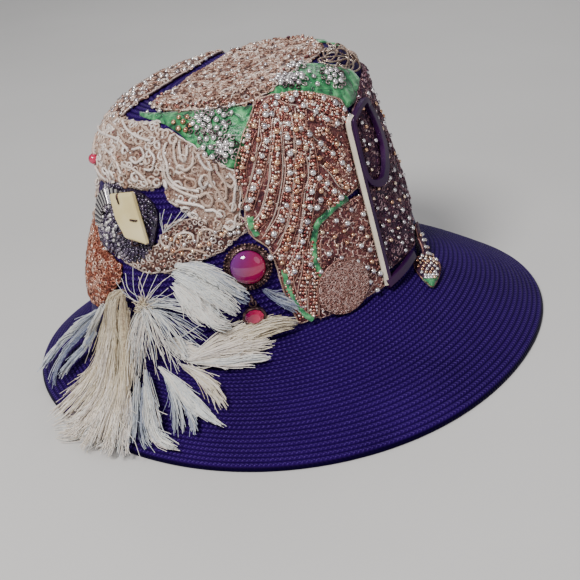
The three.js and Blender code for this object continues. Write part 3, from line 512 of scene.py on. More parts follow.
def end_tree(tree, geometry, material):
    real = node(tree, "GeometryNodeRealizeInstances", Geometry=geometry)
    dressed = node(tree, "GeometryNodeSetMaterial", Geometry=real.outputs["Geometry"], Material=material)
    smooth = node(tree, "GeometryNodeSetShadeSmooth", Geometry=dressed.outputs["Geometry"])
    node(tree, "NodeGroupOutput", values=(smooth.outputs["Geometry"],))
    return tree


def named(tree, name, kind="FLOAT"):
    made = node(tree, "GeometryNodeInputNamedAttribute", {"data_type": kind}, Name=name)
    return made.outputs["Attribute"]


def random_number(tree, seed, low=None, high=None):
    drawn = node(tree, "FunctionNodeRandomValue", {"data_type": "FLOAT"}, (None, None, low, high), Seed=seed)
    return drawn.outputs[1]


def shapes_on(tree, points, shape, facing, angle, size):
    """A shape on each point, spun by its own angle round the way it faces."""
    info = node(tree, "GeometryNodeObjectInfo", Object=shape)
    spin = node(tree, "FunctionNodeAxisAngleToRotation", Axis=(0, 0, 1), Angle=angle)
    turned = node(tree, "FunctionNodeRotateRotation", {"rotation_space": "LOCAL"},
                  Rotation=facing, Rotate_By=spin.outputs["Rotation"])
    made = node(tree, "GeometryNodeInstanceOnPoints", Points=points, Instance=info.outputs["Geometry"],
                Rotation=turned.outputs["Rotation"], Scale=size)
    return made.outputs["Instances"]


def sewing_tree():
    tree, given = new_tree("sew on", [("Shape", "Object"), ("Size", "Float"), ("Finish", "Material")])
    outward = named(tree, "outward", "FLOAT_VECTOR")
    facing = node(tree, "FunctionNodeAlignRotationToVector", {"axis": "Z"}, Vector=outward)
    size = (Sum(tree, named(tree, "size")) * given["Size"]).socket
    turned = facing.outputs["Rotation"]
    made = shapes_on(tree, given["Geometry"], given["Shape"], turned, named(tree, "turn"), size)
    return end_tree(tree, made, given["Finish"])


def strewing_tree():
    tree, given = new_tree("strew", [
        ("Shape", "Object"), ("Gap", "Float"), ("Density", "Float"),
        ("Smallest", "Float"), ("Largest", "Float"),
        ("Seed", "Int"), ("Finish", "Material"),
    ])
    seed = Sum(tree, given["Seed"])
    places = node(tree, "GeometryNodeDistributePointsOnFaces", {"distribute_method": "POISSON"},
                      Mesh=given["Geometry"], Distance_Min=given["Gap"], Density_Max=given["Density"],
                      Seed=given["Seed"])
    angle = random_number(tree, seed.socket, high=2 * math.pi)
    size = random_number(tree, (seed + 5).socket, given["Smallest"], given["Largest"])
    made = shapes_on(tree, places.outputs["Points"], given["Shape"], places.outputs["Rotation"], angle, size)
    kept = node(tree, "GeometryNodeStoreNamedAttribute", {"data_type": "FLOAT", "domain": "INSTANCE"},
                Geometry=made, Name="tint", Value=random_number(tree, (seed + 11).socket))
    return end_tree(tree, kept.outputs["Geometry"], given["Finish"])


def cording_tree():
    tree, given = new_tree("lay cord", [
        ("Radius", "Float"), ("Groove", "Float"), ("Strands", "Int"), ("Lay", "Float"),
        ("Finish", "Material"),
    ])
    curve = node(tree, "GeometryNodeMeshToCurve", Mesh=given["Geometry"])
    length = Sum(tree, node(tree, "GeometryNodeSplineParameter").outputs["Length"])
    angle = length.by("DIVIDE", given["Lay"]) * (2 * math.pi)
    tilted = node(tree, "GeometryNodeSetCurveTilt", Curve=curve.outputs["Curve"], Tilt=angle.socket)
    width = named(tree, "width")
    sized = node(tree, "GeometryNodeSetCurveRadius", Curve=tilted.outputs["Curve"], Radius=width)
    inner = Sum(tree, given["Radius"]) * given["Groove"]
    grooved = node(tree, "GeometryNodeCurveStar", Points=given["Strands"], Inner_Radius=inner.socket,
                   Outer_Radius=given["Radius"])
    plain = node(tree, "GeometryNodeCurvePrimitiveCircle",
                 Resolution=given["Strands"], Radius=given["Radius"])
    is_plain = Sum(tree, given["Groove"]).by("GREATER_THAN", 0.99)
    chosen = node(tree, "GeometryNodeSwitch", {"input_type": "GEOMETRY"}, **{
        "Switch": is_plain.socket, "False": grooved.outputs["Curve"], "True": plain.outputs["Curve"],
    })
    swept = node(tree, "GeometryNodeCurveToMesh",
                 Curve=sized.outputs["Curve"], Profile_Curve=chosen.outputs["Output"],
                 Fill_Caps=True)
    return end_tree(tree, swept.outputs["Mesh"], given["Finish"])


SEW, STREW, CORD = sewing_tree(), strewing_tree(), cording_tree()


def grown(mesh, tree, **values):
    """What a tree makes on a mesh, as a plain piece of the same name."""
    name = mesh.name
    carrier = in_scene(name, mesh)
    modifier = carrier.modifiers.new("made", "NODES")
    modifier.node_group = tree
    for item in tree.interface.items_tree:
        if item.in_out == "INPUT" and item.name in values:
            modifier[item.identifier] = values[item.name]
    bpy.context.view_layer.update()
    ready = carrier.evaluated_get(bpy.context.evaluated_depsgraph_get())
    made = bpy.data.meshes.new_from_object(ready)
    bpy.data.objects.remove(carrier)
    corners = np.array([v.co for v in made.vertices])
    made.calc_loop_triangles()
    tris = np.empty(len(made.loop_triangles) * 3, int)
    made.loop_triangles.foreach_get("vertices", tris)
    a, b, c = corners[tris.reshape(-1, 3).T]
    if np.einsum("ij,ij->i", a, np.cross(b, c)).sum() < 0:
        made.flip_normals()
    return in_scene(name, made)


def keep_values(mesh, **values):
    for name, value in values.items():
        value = np.asarray(value, float)
        kind, field = ("FLOAT_VECTOR", "vector") if value.ndim == 2 else ("FLOAT", "value")
        mesh.attributes.new(name, kind, "POINT").data.foreach_set(field, value.ravel())


def sewn(name, shape, points, outward, size, material, tint=None, stands_for=()):
    """A shape sewn on at each point, facing outward, so many millimetres in radius."""
    mesh, count = mesh_of(name, points), len(points)
    keep_values(mesh, outward=np.broadcast_to(outward, (count, 3)), size=np.broadcast_to(size, count),
                turn=rng.uniform(0, 6.28, count),
                tint=rng.uniform(0, 1, count) if tint is None else np.broadcast_to(tint, count))
    return dress(grown(mesh, SEW, Shape=shape, Size=MM, Finish=material), *stands_for)


def strewn(name, shape, cloth, gap, smallest, largest, seed, material):
    mesh = mesh_of(name, cloth["top"], faces=cloth["faces"])
    return dress(grown(mesh, STREW, Shape=shape, Gap=gap * MM, Density=1.2e6 / gap**2, Smallest=smallest * MM,
                       Largest=largest * MM, Seed=seed, Finish=material))


def corded(name, lines, radius, material, strands=3, groove=0.62, lay=2.6, tints=None,
           closed=False, stands_for=()):
    """Cords along lines of points in millimetres. A line may carry widths and shades as more columns."""
    points, edges, widths, shades = [], [], [], []
    for i, line in enumerate(lines):
        line = np.asarray(line, float)
        start, count = len(points), len(line)
        points.extend(line[:, :3].tolist())
        widths.extend(line[:, 3] if line.shape[1] > 3 else [1.0] * count)
        if line.shape[1] > 4:
            shades.extend(line[:, 4])
        else:
            shades.extend([rng.uniform(0.15, 0.9) if tints is None else tints[i]] * count)
        edges.extend((start + k, start + k + 1) for k in range(count - 1))
        if closed:
            edges.append((start + count - 1, start))
    mesh = mesh_of(name, points, edges)
    keep_values(mesh, width=widths, tint=shades)
    made = grown(mesh, CORD, Radius=radius * MM, Groove=groove, Strands=strands, Lay=lay * MM,
                 Finish=material)
    return dress(made, *stands_for)


# Small shapes that are sewn on many times, a millimetre in radius
def small_shape(name, points, faces):
    mesh = bpy.data.meshes.new(name)
    mesh.from_pydata(points, [], faces)
    return bpy.data.objects.new(name, mesh)


def round_bead(sides, rings, squash=0.85, name="bead"):
    """A bead on its own +Z axis, flattened a little where its hole is."""
    turns = [2 * math.pi * k / sides for k in range(sides)]
    points = [(0, 0, -squash)]
    for angle in (math.pi * i / rings for i in range(1, rings)):
        out, low = math.sin(angle), -squash * math.cos(angle)
        points += [(out * math.cos(t), out * math.sin(t), low) for t in turns]
    last = len(points)
    faces = [(0, 1 + (k + 1) % sides, 1 + k) for k in range(sides)]
    for i in range(rings - 2):
        faces += band(1 + i * sides, 1 + (i + 1) * sides, sides)
    faces += [(last, last - sides + k, last - sides + (k + 1) % sides) for k in range(sides)]
    return small_shape(name, points + [(0, 0, squash)], faces)


def tube_shape(name, line, radius, sides=3):
    """A short closed tube along a flat or rising line."""
    line = np.asarray(line, float)
    points, faces = [], []
    for centre, tangent in zip(line, unit(np.gradient(line, axis=0))):
        side = unit(np.cross(tangent, (0, 0, 1)))
        up = np.cross(side, tangent)
        for k in range(sides):
            turn = 2 * math.pi * (k + 0.5) / sides
            points.append(tuple(centre + radius * (math.cos(turn) * side + math.sin(turn) * up)))
    for i in range(len(line) - 1):
        faces += band(i * sides, (i + 1) * sides, sides)
    faces += [tuple(range(sides))[::-1], tuple(range(len(points) - sides, len(points)))]
    return small_shape(name, points, faces)


def curl_line(turns, first, last, count, rise=0.0):
    t = np.linspace(0, 1, count)
    angle, reach = turns * 2 * math.pi * t, first + (last - first) * t
    return np.stack([reach * np.cos(angle), reach * np.sin(angle), rise * np.sin(math.pi * t)], -1)


def s_line(count):
    t = np.linspace(-1, 1, count)
    return np.stack([1.5 * t, 0.75 * np.sin(math.pi * t), 0.25 * np.cos(math.pi * t / 2)], -1)


BEAD = round_bead(8, 5)
SEED = round_bead(6, 3, name="seed")
CURL = tube_shape("curl", curl_line(0.95, 1.3, 0.62, 8, 0.2), 0.42)
WORM = tube_shape("worm", s_line(6), 0.4)


# Straw braid: rows sewn round, each lapped over the next
def braid_sheet(name, rings, rows, closed_loop, poles=()):
    """A skin over rings of points. rows holds each ring's braid row, for the plait's pattern."""
    count = len(rings[0])
    lengths = np.array([np.linalg.norm(np.roll(r, -1, 0) - r, axis=1).sum() for r in rings])
    plaits = np.maximum(np.round(lengths / 2.3), 1)
    faces, uv = [], []
    for i in range(len(rings) if closed_loop else len(rings) - 1):
        j = (i + 1) % len(rings)
        low, high = rows[i], rows[j] if j else rows[i]
        if abs(high - low) > 2:
            high = low
        faces += band(i * count, j * count, count)
        for k in range(count):
            first, second = k / count * plaits[i], (k + 1) / count * plaits[i]
            uv += [(first, low), (second, low), (second, high), (first, high)]
    for n, (i, _) in enumerate(poles):
        for k in range(count):
            faces.append((i * count + k, i * count + (k + 1) % count, len(rings) * count + n))
            uv += [(0, rows[i]), (1, rows[i]), (0.5, rows[i] + 0.9)]
    points = np.concatenate([*rings, *([centre] for _, centre in poles)])
    return new_piece(name, points, faces, NAVY_STRAW, uv)


LAP = ((0.02, 0.0), (0.14, 0.42), (0.45, 0.55), (0.82, 0.3))
UNDER_LAP = ((0.9, 0.075), (0.35, 0.25))
RIM = ((-0.35, 0.35 - BRIM_WALL), (-0.75, 0.9 - BRIM_WALL), (-0.7, -0.8), (-0.2, -0.05))
BRAID_PITCH = 3.0


def straw_brim():
    degrees = np.arange(288) * 360 / 288
    width = np.linalg.norm(crown_foot(degrees) - brim_edge(degrees) - [0, 0, BRIM_WALL], axis=-1)
    count = int(width.max() / BRAID_PITCH) + 1
    rings = [brim_point(degrees, 1 - along / width, lift) for along, lift in RIM]
    rows = [0.0] * len(RIM)
    for row in range(count):
        for share, lift in LAP:
            along = np.minimum((row + share) * BRAID_PITCH, width + 0.6)
            rings.append(brim_point(degrees, 1 - along / width, lift))
            rows.append(row + share + 0.02)
    for row in reversed(range(count)):
        for share, lift in UNDER_LAP:
            along = np.clip((row + share) * BRAID_PITCH, REST_RING * 0.2, width + 0.6)
            rings.append(brim_point(degrees, 1 - along / width, lift - BRIM_WALL))
            rows.append(row + share)
    piece = braid_sheet("brim_braid", rings, rows, True)
    tidy_mesh(piece, 0.00002)
    points = np.array([v.co for v in piece.data.vertices])
    points[:, 2] = np.maximum(points[:, 2], 0.0)
    piece.data.vertices.foreach_set("co", points.ravel())
    dress(piece, "straw_brim")


def straw_crown():
    degrees = np.arange(176) * 360 / 176
    count = int(PROFILE / BRAID_PITCH)
    last = int(count * 0.975)
    rings, rows = [], []
    for row in reversed(range(last)):
        rings.append(crown_point(degrees, (row + 0.5) / count - 0.004, -CROWN_WALL - 0.2 * (row % 2)))
        rows.append(row + 0.5)
    for row in range(last):
        for share, lift in ((0.02, 0.0), (0.16, 0.32), (0.6, 0.336)):
            rings.append(crown_point(degrees, (row + share) / count - 0.004, lift))
            rows.append(row + share)
    poles = [(0, crown_point(0, 1, -CROWN_WALL)), (len(rings) - 1, crown_point(0, 1, 0.2))]
    piece = braid_sheet("crown_braid", rings, rows, False, poles)
    tidy_mesh(piece)
    dress(piece, "straw_crown")


# Cloth patches: an outline on the crown, filled with a fine net that follows the crown's curve
PATCHES = {
    "front": ("front_patch", [
        (.02, -77.5, -71), (.14, -80.5, -69.5), (.22, -81.5, -68.5), (.27, -83, -66.5), (.305, -87, -62),
        (.33, -89, -43), (.48, -89.5, -41), (.54, -87.5, -38), (.58, -85, -40), (.62, -82, -48.5),
        (.66, -79, -62.5), (.68, -78, -69.5)]),
    "leaf": ("leaf_patch", [
        (.012, -71, -44.5), (.14, -69.5, -44), (.22, -68.5, -43.5), (.27, -66.5, -43), (.305, -62, -44)]),
    "right": ("right_patch", [
        (.05, -44, -22), (.12, -44, -13.5), (.22, -43.5, 4.5), (.33, -43, 10.5), (.48, -41, 11.5),
        (.54, -32.5, 9.5), (.585, -18.5, 7)]),
    "satin_right": ("green_satin_right", [
        (.545, -37, -30), (.58, -40.5, -17.5), (.62, -48.5, -18), (.66, -62.5, -23.5), (.68, -70.5, -26.5),
        (.71, -66, -30.5), (.745, -56, -34)]),
    "satin_left": ("green_satin_left", [
        (.515, -93, -88.5), (.54, -97, -87), (.58, -103.5, -84.5), (.61, -108.5, -82), (.633, -112.5, -80.5),
        (.667, -121.5, -77.5), (.684, -130, -89), (.70, -145, -104), (.713, -149, -121)]),
    "swirl": ("brocade_swirl", [
        (.35, -102, -91.5), (.385, -104, -91), (.42, -109, -90), (.46, -118, -89.5), (.51, -119, -91),
        (.54, -119.5, -96), (.58, -120.5, -102.5), (.61, -122, -108.5), (.65, -124, -118.5)]),
    "fine": ("brocade_fine", [
        (.50, -181.5, -121), (.525, -182, -118.5), (.58, -183, -119.5), (.61, -184, -121), (.65, -182, -123),
        (.675, -178, -126)]),
    "copper": ("copper_patch", [
        (.12, -178.5, -156), (.17, -180.5, -148), (.22, -181.5, -142), (.27, -181, -141.5),
        (.29, -180.5, -149),
        (.31, -179.5, -160), (.35, -177.5, -163)]),
    "scallop": ("scallop_patch", [
        (.255, -128, -119), (.275, -136, -108), (.295, -142, -98), (.315, -142, -95), (.335, -123, -89),
        (.37, -120.5, -89.5), (.39, -118.5, -92), (.402, -114, -100)]),
    "shoulder": ("shoulder_patch", [
        (.5, 99, 177), (.6, 95, 180), (.68, 91, 200), (.72, 92, 198.5), (.765, 103, 190), (.8, 114, 178.5),
        (.828, 130, 160)]),
    "back_brocade": ("back_brocade", [(.03, 99, 169), (.18, 97, 175), (.34, 95, 175), (.47, 97, 173)]),
    "back_leaf": ("back_leaf", [(.03, 23, 89), (.12, 19, 93), (.26, 11, 91)]),
    "back_gold": ("back_gold", [(.29, 12.5, 90), (.48, 13, 89), (.62, 11, 85)]),
    "back_satin": ("back_satin", [(.64, 12, 81), (.68, 14, 79), (.72, 19, 73)]),
}
TOP_REACH = [
    (-180, .875), (-170, .866), (-162, .845), (-155, .80), (-150, .765), (-145, .748), (-140.5, .737),
    (-132.5, .724), (-122.5, .714), (-112.5, .706), (-101.5, .696), (-91.5, .684), (-80, .677), (-69, .69),
    (-50, .728), (-36, .745), (-20, .728), (10, .728), (40, .73), (70, .745), (88, .80), (105, .86),
    (128, .893), (150, .885),
]


def resampled(outline, step):
    closed = np.concatenate([outline, outline[:1]])
    lengths = np.linalg.norm(np.diff(closed, axis=0), axis=1)
    at = np.concatenate([[0], np.cumsum(lengths)])
    count = max(int(at[-1] / step), 8)
    where = np.arange(count) * at[-1] / count
    return np.stack([np.interp(where, at, closed[:, i]) for i in (0, 1)], -1)


def edge_distance(points, outline):
    a, b = outline, np.roll(outline, -1, 0)
    along = b - a
    share = np.einsum("pei,ei->pe", points[:, None] - a[None], along) / np.maximum((along**2).sum(1), 1e-9)
    near = a[None] + np.clip(share, 0, 1)[..., None] * along[None]
    return np.linalg.norm(points[:, None] - near, axis=-1).min(1)


def is_inside(points, outline):
    a, b = outline, np.roll(outline, -1, 0)
    x, y = points[:, :1], points[:, 1:]
    crosses = (a[:, 1] > y) != (b[:, 1] > y)
    at = a[:, 0] + (y - a[:, 1]) * (b[:, 0] - a[:, 0]) / np.where(b[:, 1] == a[:, 1], 1e-9, b[:, 1] - a[:, 1])
    return (crosses & (x < at)).sum(1) % 2 == 1


def waviness(flat, scale, seed=0.0):
    return np.array([noise.noise(Vector((x / scale, y / scale, seed))) for x, y in flat])


# Spacing of the net that a cloth is made of
NET = 1.7


def cut_cloth(target, chart, outline, relief, material, thick=PATCH_THICK, ripple=0.35):
    """A closed thin piece of cloth on the crown. relief says how far a place on it stands proud."""
    edge = resampled(outline, NET)
    away = unit(edge - edge.mean(0))
    edge = edge + away * (ripple * waviness(edge, 2.4, 3.0) * 2)[:, None]
    low, high = edge.min(0), edge.max(0)
    xs, ys = np.arange(low[0], high[0], NET), np.arange(low[1], high[1], NET * 0.87)
    grid = np.array([(x + (NET / 2 if j % 2 else 0), y) for j, y in enumerate(ys) for x in xs])
    grid = grid + rng.uniform(-0.15, 0.15, grid.shape) * NET
    grid = grid[is_inside(grid, edge)]
    grid = grid[edge_distance(grid, edge) > NET * 0.6]
    flat = np.concatenate([edge, grid])
    verts, _, faces, *_ = delaunay_2d_cdt([Vector(p) for p in flat], [], [list(range(len(edge)))], 1, 1e-5)
    flat = np.array([tuple(v) for v in verts])
    faces = [tuple(f) for f in faces]
    degrees, up = chart.round(flat)
    inner = np.clip(edge_distance(flat, edge) / 1.6, 0, 1)
    height = PATCH_GAP + thick * (0.45 + 0.55 * np.sqrt(inner)) + relief(flat, degrees, up, inner) * inner
    top, under = crown_point(degrees, up, height), crown_point(degrees, up, PATCH_GAP)
    count = len(flat)
    sides = dict.fromkeys((a, b) for f in faces for a, b in zip(f, f[1:] + f[:1]))
    all_faces = faces + [tuple(v + count for v in f[::-1]) for f in faces]
    all_faces += [(b, a, a + count, b + count) for a, b in sides if (b, a) not in sides]
    uv = [tuple(flat[v % count]) for f in all_faces for v in f]
    name = target.replace("_patch", "") + "_cloth"
    piece = new_piece(name, np.concatenate([top, under]), all_faces, material, uv)
    area = 0.5 * abs(np.sum(edge[:, 0] * np.roll(edge[:, 1], -1) - np.roll(edge[:, 0], -1) * edge[:, 1]))
    dress(piece, target)
    declare_sheet(piece, *(high - low), area)
    return {"name": name, "top": top, "faces": faces, "edge": edge, "chart": chart, "thick": thick}


def plain_relief(flat, degrees, up, inner):
    return 0.3 * waviness(flat, 7.0) + 0.28 * waviness(flat, 1.9, 4.0)


def domed(rows, bulge):
    low, high = rows[0][0], rows[-1][0]

    def relief(flat, degrees, up, inner):
        ups = [row[0] for row in rows]
        start = np.interp(up, ups, [row[1] for row in rows])
        end = np.interp(up, ups, [row[2] for row in rows])
        across = np.clip((degrees - start) / (end - start), 0, 1)
        rise = np.clip((up - low) / (high - low), 0, 1)
        swell = bulge * np.sin(math.pi * across) * np.sin(math.pi * rise)
        return swell + plain_relief(flat, degrees, up, inner)

    return relief


def creased(flat, degrees, up, inner):
    folds = np.sin(flat[:, 0] / 2.6 + 2.2 * waviness(flat, 9.0) + flat[:, 1] / 4.5)
    return 0.45 * folds * (0.4 + np.abs(waviness(flat, 12.0, 2.0))) + 0.4 * waviness(flat, 5.0)


def swirled(flat, degrees, up, inner):
    return 0.55 * waviness(flat, 6.0, 7.0) + 0.45 * waviness(flat, 3.0, 5.0) + 0.4


def sew_cloth(target, rows, *how):
    chart = SideChart(sum(row[1] + row[2] for row in rows) / 2 / len(rows))
    left = [chart.flat(start, up) for up, start, _ in rows]
    right = [chart.flat(end, up) for up, _, end in rows]
    return cut_cloth(target, chart, np.array(left[::-1] + right), *how)


def sew_top():
    chart, stops = TopChart(), np.array([*TOP_REACH, (180, TOP_REACH[0][1])])
    outline = [
        chart.flat(np.linspace(a, b, 6, endpoint=False), np.linspace(first, second, 6, endpoint=False))
        for (a, first), (b, second) in zip(stops, stops[1:])
    ]
    return cut_cloth("top_patch", chart, np.concatenate(outline), plain_relief, GOLD_GROUND)


# Beads charted: angle round the crown and share of the way up
FRONT_SILVER = [
    (-84, .585), (-74.5, .642), (-75.5, .622), (-77, .595), (-77.5, .562), (-80, .53), (-82, .492),
    (-85, .452), (-86.5, .422), (-88, .402), (-68, .655), (-70, .64), (-67, .615), (-68, .582),
    (-69.5, .552), (-69.5, .512), (-71, .46), (-73, .418), (-74.5, .375), (-77, .338), (-80.5, .308),
    (-83, .29), (-63.5, .56), (-65.5, .53), (-60.5, .538), (-62.5, .435), (-64.5, .385), (-66.5, .345),
    (-68.5, .308), (-71.5, .258), (-74, .22), (-76, .182), (-78.5, .158), (-56.5, .503), (-52.5, .46),
    (-49.5, .422), (-47.5, .395), (-58, .388), (-56, .358), (-54, .332), (-60.5, .413), (-64, .335),
    (-60, .642), (-49.5, .602), (-45, .578), (-41.5, .552), (-39.5, .53), (-63, .635), (-59.5, .608),
    (-55.5, .582), (-51.5, .552), (-47, .53), (-70.5, .185), (-62, .352), (-73, .618), (-71.5, .29),
]
FRONT_GOLD = [
    (-81, .605), (-85, .56), (-88, .518), (-80.5, .57), (-83.5, .53), (-73, .575), (-74, .535), (-75, .5),
    (-76.5, .462), (-78.5, .428), (-80, .398), (-83, .365), (-86, .342), (-65.5, .655), (-64, .592),
    (-65.5, .562), (-67.5, .512), (-68, .47), (-69, .43), (-70, .402), (-71.5, .365), (-74.5, .302),
    (-76, .278), (-77.5, .255), (-63, .51), (-65.5, .478), (-66.5, .438), (-68.5, .355), (-54.5, .622),
    (-52.5, .528), (-56.5, .44), (-53.5, .41), (-49.5, .478), (-61, .375), (-58, .57), (-62, .585),
    (-72, .15), (-79.5, .218), (-79, .192), (-59, .332), (-50.5, .35), (-52.5, .378), (-58.5, .465),
]
LEAF_SILVER = [
    (-58, .275), (-54, .252), (-46.5, .252), (-49, .218), (-51, .17), (-48, .145), (-63.5, .192),
    (-59.5, .165), (-54, .132), (-51, .1), (-49, .08), (-46.5, .062), (-67.5, .152), (-49.5, .02),
    (-51, .283), (-51.5, .055),
]
LEAF_GOLD = [
    (-64, .26), (-56, .2), (-60, .232), (-53, .212), (-47.5, .185), (-60, .205), (-48.5, .108), (-56, .235),
]
RIGHT_SILVER = [
    (-30, .292), (-25.5, .29), (-19.5, .295), (-15, .26), (-25, .248), (-39, .242), (-34.5, .222),
    (-24, .178), (-30.5, .182), (-35, .152), (-26, .145), (-39, .185), (-32.5, .12), (-31.5, .098),
    (-24.5, .078), (-40.5, .135), (-32.5, .49), (-40, .462), (-35, .442), (-32, .42), (-37, .378),
    (-31, .07), (-21, .138), (-14.5, .192), (-42, .232), (-20.5, .103), (-43, .103), (-42.5, .062),
    (-26.5, .415), (-6, .3), (-2, .36), (4, .4), (-10, .42), (-14, .36), (-8, .24), (-18, .46), (-4, .5),
    (3, .46), (-12, .53), (-20, .54),
]
RIGHT_GOLD = [
    (-22.5, .262), (-35, .29), (-32, .25), (-30, .47), (-39, .422), (-35.5, .352), (-40, .362),
    (-29.5, .225), (-35, .185), (-31, .145), (-39.5, .275), (-35, .413), (-37, .13), (-28, .52),
    (-23.5, .21), (-10, .32), (-6, .45), (0, .42), (-16, .42), (-2, .27), (-12, .49), (6, .34), (-20, .34),
    (-18, .2), (-24, .35),
]
SATIN_SILVER = [
    (-87.5, .682), (-100.5, .69), (-89.5, .68), (-89, .658), (-60, .722), (-52.5, .712), (-48.5, .698),
    (-62, .698), (-44, .692), (-92, .625), (-103, .61), (-94.5, .61), (-99.5, .625), (-45, .67),
    (-47, .645), (-91, .60),
]
# Flowers of beads: angle, share up, reach and beads in the ring
FLOWERS = [
    (-35.5, .64, 3.9, 7), (-58, .715, 3.4, 6), (-54, .694, 3.4, 6), (-95.8, .648, 4.2, 7),
    (-98.5, .582, 4.2, 7), (-92.8, .571, 3, 6), (-103.5, .655, 3.2, 6), (-42, .75, 3, 5),
]
TOP_SILVER = [
    (-37.5, .86), (-71.5, .95), (-89, .922), (-145, .932), (-118, .93), (35, .922), (-20, .812), (33, .825),
    (79.5, .795), (-134.5, .858), (-140.5, .805), (84.5, .775), (67, .775), (-80, .78), (-67, .753),
    (-38.5, .77), (-107, .715), (-142.5, .735), (-137, .702), (-128.5, .705), (9.5, .76), (0, .75),
    (-1, .792),
]
GOLD_CLUSTER = [
    (-114.5, .678), (-111.5, .662), (-113, .645), (-109.5, .638), (-107.5, .65), (-116.5, .665), (-110, .675),
    (-105.5, .668),
]
SCALLOP_SILVER = [
    (-101.5, .338), (-103, .312), (-100, .355), (-92, .355), (-93.5, .342), (-92, .34), (-118.5, .362),
    (-111.5, .335), (-107.5, .34), (-95, .34),
]
SCALLOP_GOLD = [
    (-116.5, .355), (-113, .36), (-109.5, .355), (-105.5, .36), (-112.5, .31), (-108.5, .312), (-102.5, .325),
    (-96.5, .35), (-114, .345), (-106, .325), (-119, .33), (-116, .32), (-98, .345),
]

# Cords charted as stops along each
FRONT_COLUMNS = [
    [(-70, .652), (-75, .635), (-76.5, .595), (-77, .562), (-79.5, .532), (-82, .487), (-84.5, .45),
     (-88, .398)],
    [(-69.5, .64), (-66.5, .613), (-68, .585), (-69.5, .51), (-70.5, .458), (-74.5, .378), (-77, .338),
     (-83, .292)],
    [(-60.5, .608), (-63, .56), (-61, .532), (-62, .43), (-65, .383), (-68.5, .307), (-73.5, .217),
     (-78, .158)],
    [(-67, .24), (-68.5, .182), (-70, .133), (-71.5, .077), (-72.5, .03)],
    [(-75, .665), (-81.5, .605), (-84, .583), (-85.5, .56), (-88.3, .517), (-88.5, .47)],
    [(-65, .65), (-71, .6), (-74, .545), (-75.5, .508), (-76, .465), (-78.5, .427), (-82.5, .365),
     (-87, .34)],
    [(-63.5, .59), (-64.5, .508), (-66.5, .48), (-68, .43), (-71, .367), (-74, .31), (-77.5, .26),
     (-80.5, .235)],
    [(-70, .225), (-71.5, .175), (-74.5, .11), (-75.5, .06)],
    [(-74, .25), (-77, .2), (-78.5, .15), (-77.5, .09), (-76, .04)],
    [(-56, .585), (-51.5, .552), (-46.5, .53)], [(-57, .535), (-53, .525), (-49.5, .478), (-47.5, .435)],
    [(-57, .5), (-52, .455), (-49.5, .422), (-46.5, .385)],
    [(-56.5, .44), (-53.5, .408), (-51.5, .372), (-47.5, .338)],
    [(-60, .413), (-58, .385), (-56, .355), (-53.5, .33)], [(-62, .35), (-58.5, .333), (-55.5, .318)],
    [(-65, .655), (-60, .648), (-54.5, .628), (-49, .6), (-45, .578), (-41.5, .55), (-40.5, .52)],
    [(-60, .62), (-55, .602), (-50, .575), (-44.5, .548)],
]
FRONT_CORDS = [
    [(-77, .64), (-80.5, .57), (-83.5, .51), (-87, .448), (-88.5, .41)],
    [(-72.5, .605), (-74.5, .56), (-77.8, .49), (-80.5, .42), (-85.5, .352)],
    [(-70, .63), (-71.5, .56), (-73, .48), (-75.5, .42), (-79, .36), (-83, .318)],
    [(-65.5, .6), (-67, .53), (-68.7, .455), (-71.5, .39), (-75, .32), (-80, .272)],
    [(-61, .5), (-64.2, .43), (-67, .365), (-70, .31), (-74, .245), (-78.5, .19)],
    [(-68, .25), (-70, .2), (-73, .13), (-74, .05)],
    [(-66.5, .635), (-58, .6), (-51.5, .555), (-43.5, .52)],
    [(-59, .53), (-55, .49), (-50.5, .44), (-47.5, .4)],
    [(-58.5, .445), (-55.5, .41), (-53, .36), (-50, .345)],
]
SWIRL_CORDS = [
    [(-113.5, .618), (-113.5, .585), (-112, .555), (-109, .54), (-106, .552), (-105.5, .582)],
    [(-111.5, .612), (-111, .585), (-109.5, .562), (-108, .578), (-108, .598)],
    [(-117.5, .612), (-118, .585), (-116.5, .56), (-116, .53), (-113, .503), (-108, .488), (-104.5, .478)],
    [(-103.5, .575), (-103, .557), (-101, .535), (-99, .53), (-100, .55)],
    [(-118, .57), (-117.5, .53), (-114.5, .5), (-109, .475), (-105, .462)],
    [(-97.5, .54), (-97, .522), (-95, .492), (-92.5, .47), (-91, .482)],
    [(-100, .528), (-99.5, .492), (-97.5, .468), (-96, .438), (-94, .405)],
    [(-95.5, .515), (-94.5, .48), (-95, .445), (-97.5, .44), (-98.5, .458), (-97, .473)],
    [(-104.5, .46), (-102, .47), (-100, .45), (-101, .432), (-103, .438), (-104, .452)],
    [(-103, .422), (-100, .418), (-98, .405), (-97, .395)],
    [(-109.5, .522), (-106, .512), (-105.5, .495), (-108, .49), (-110, .505)],
    [(-93, .51), (-92, .5), (-91, .482), (-92, .44), (-93.5, .402)],
    [(-114, .46), (-110, .452), (-106, .442), (-103, .43)],
    [(-103, .52), (-104, .5), (-102.5, .485), (-101, .5)],
]
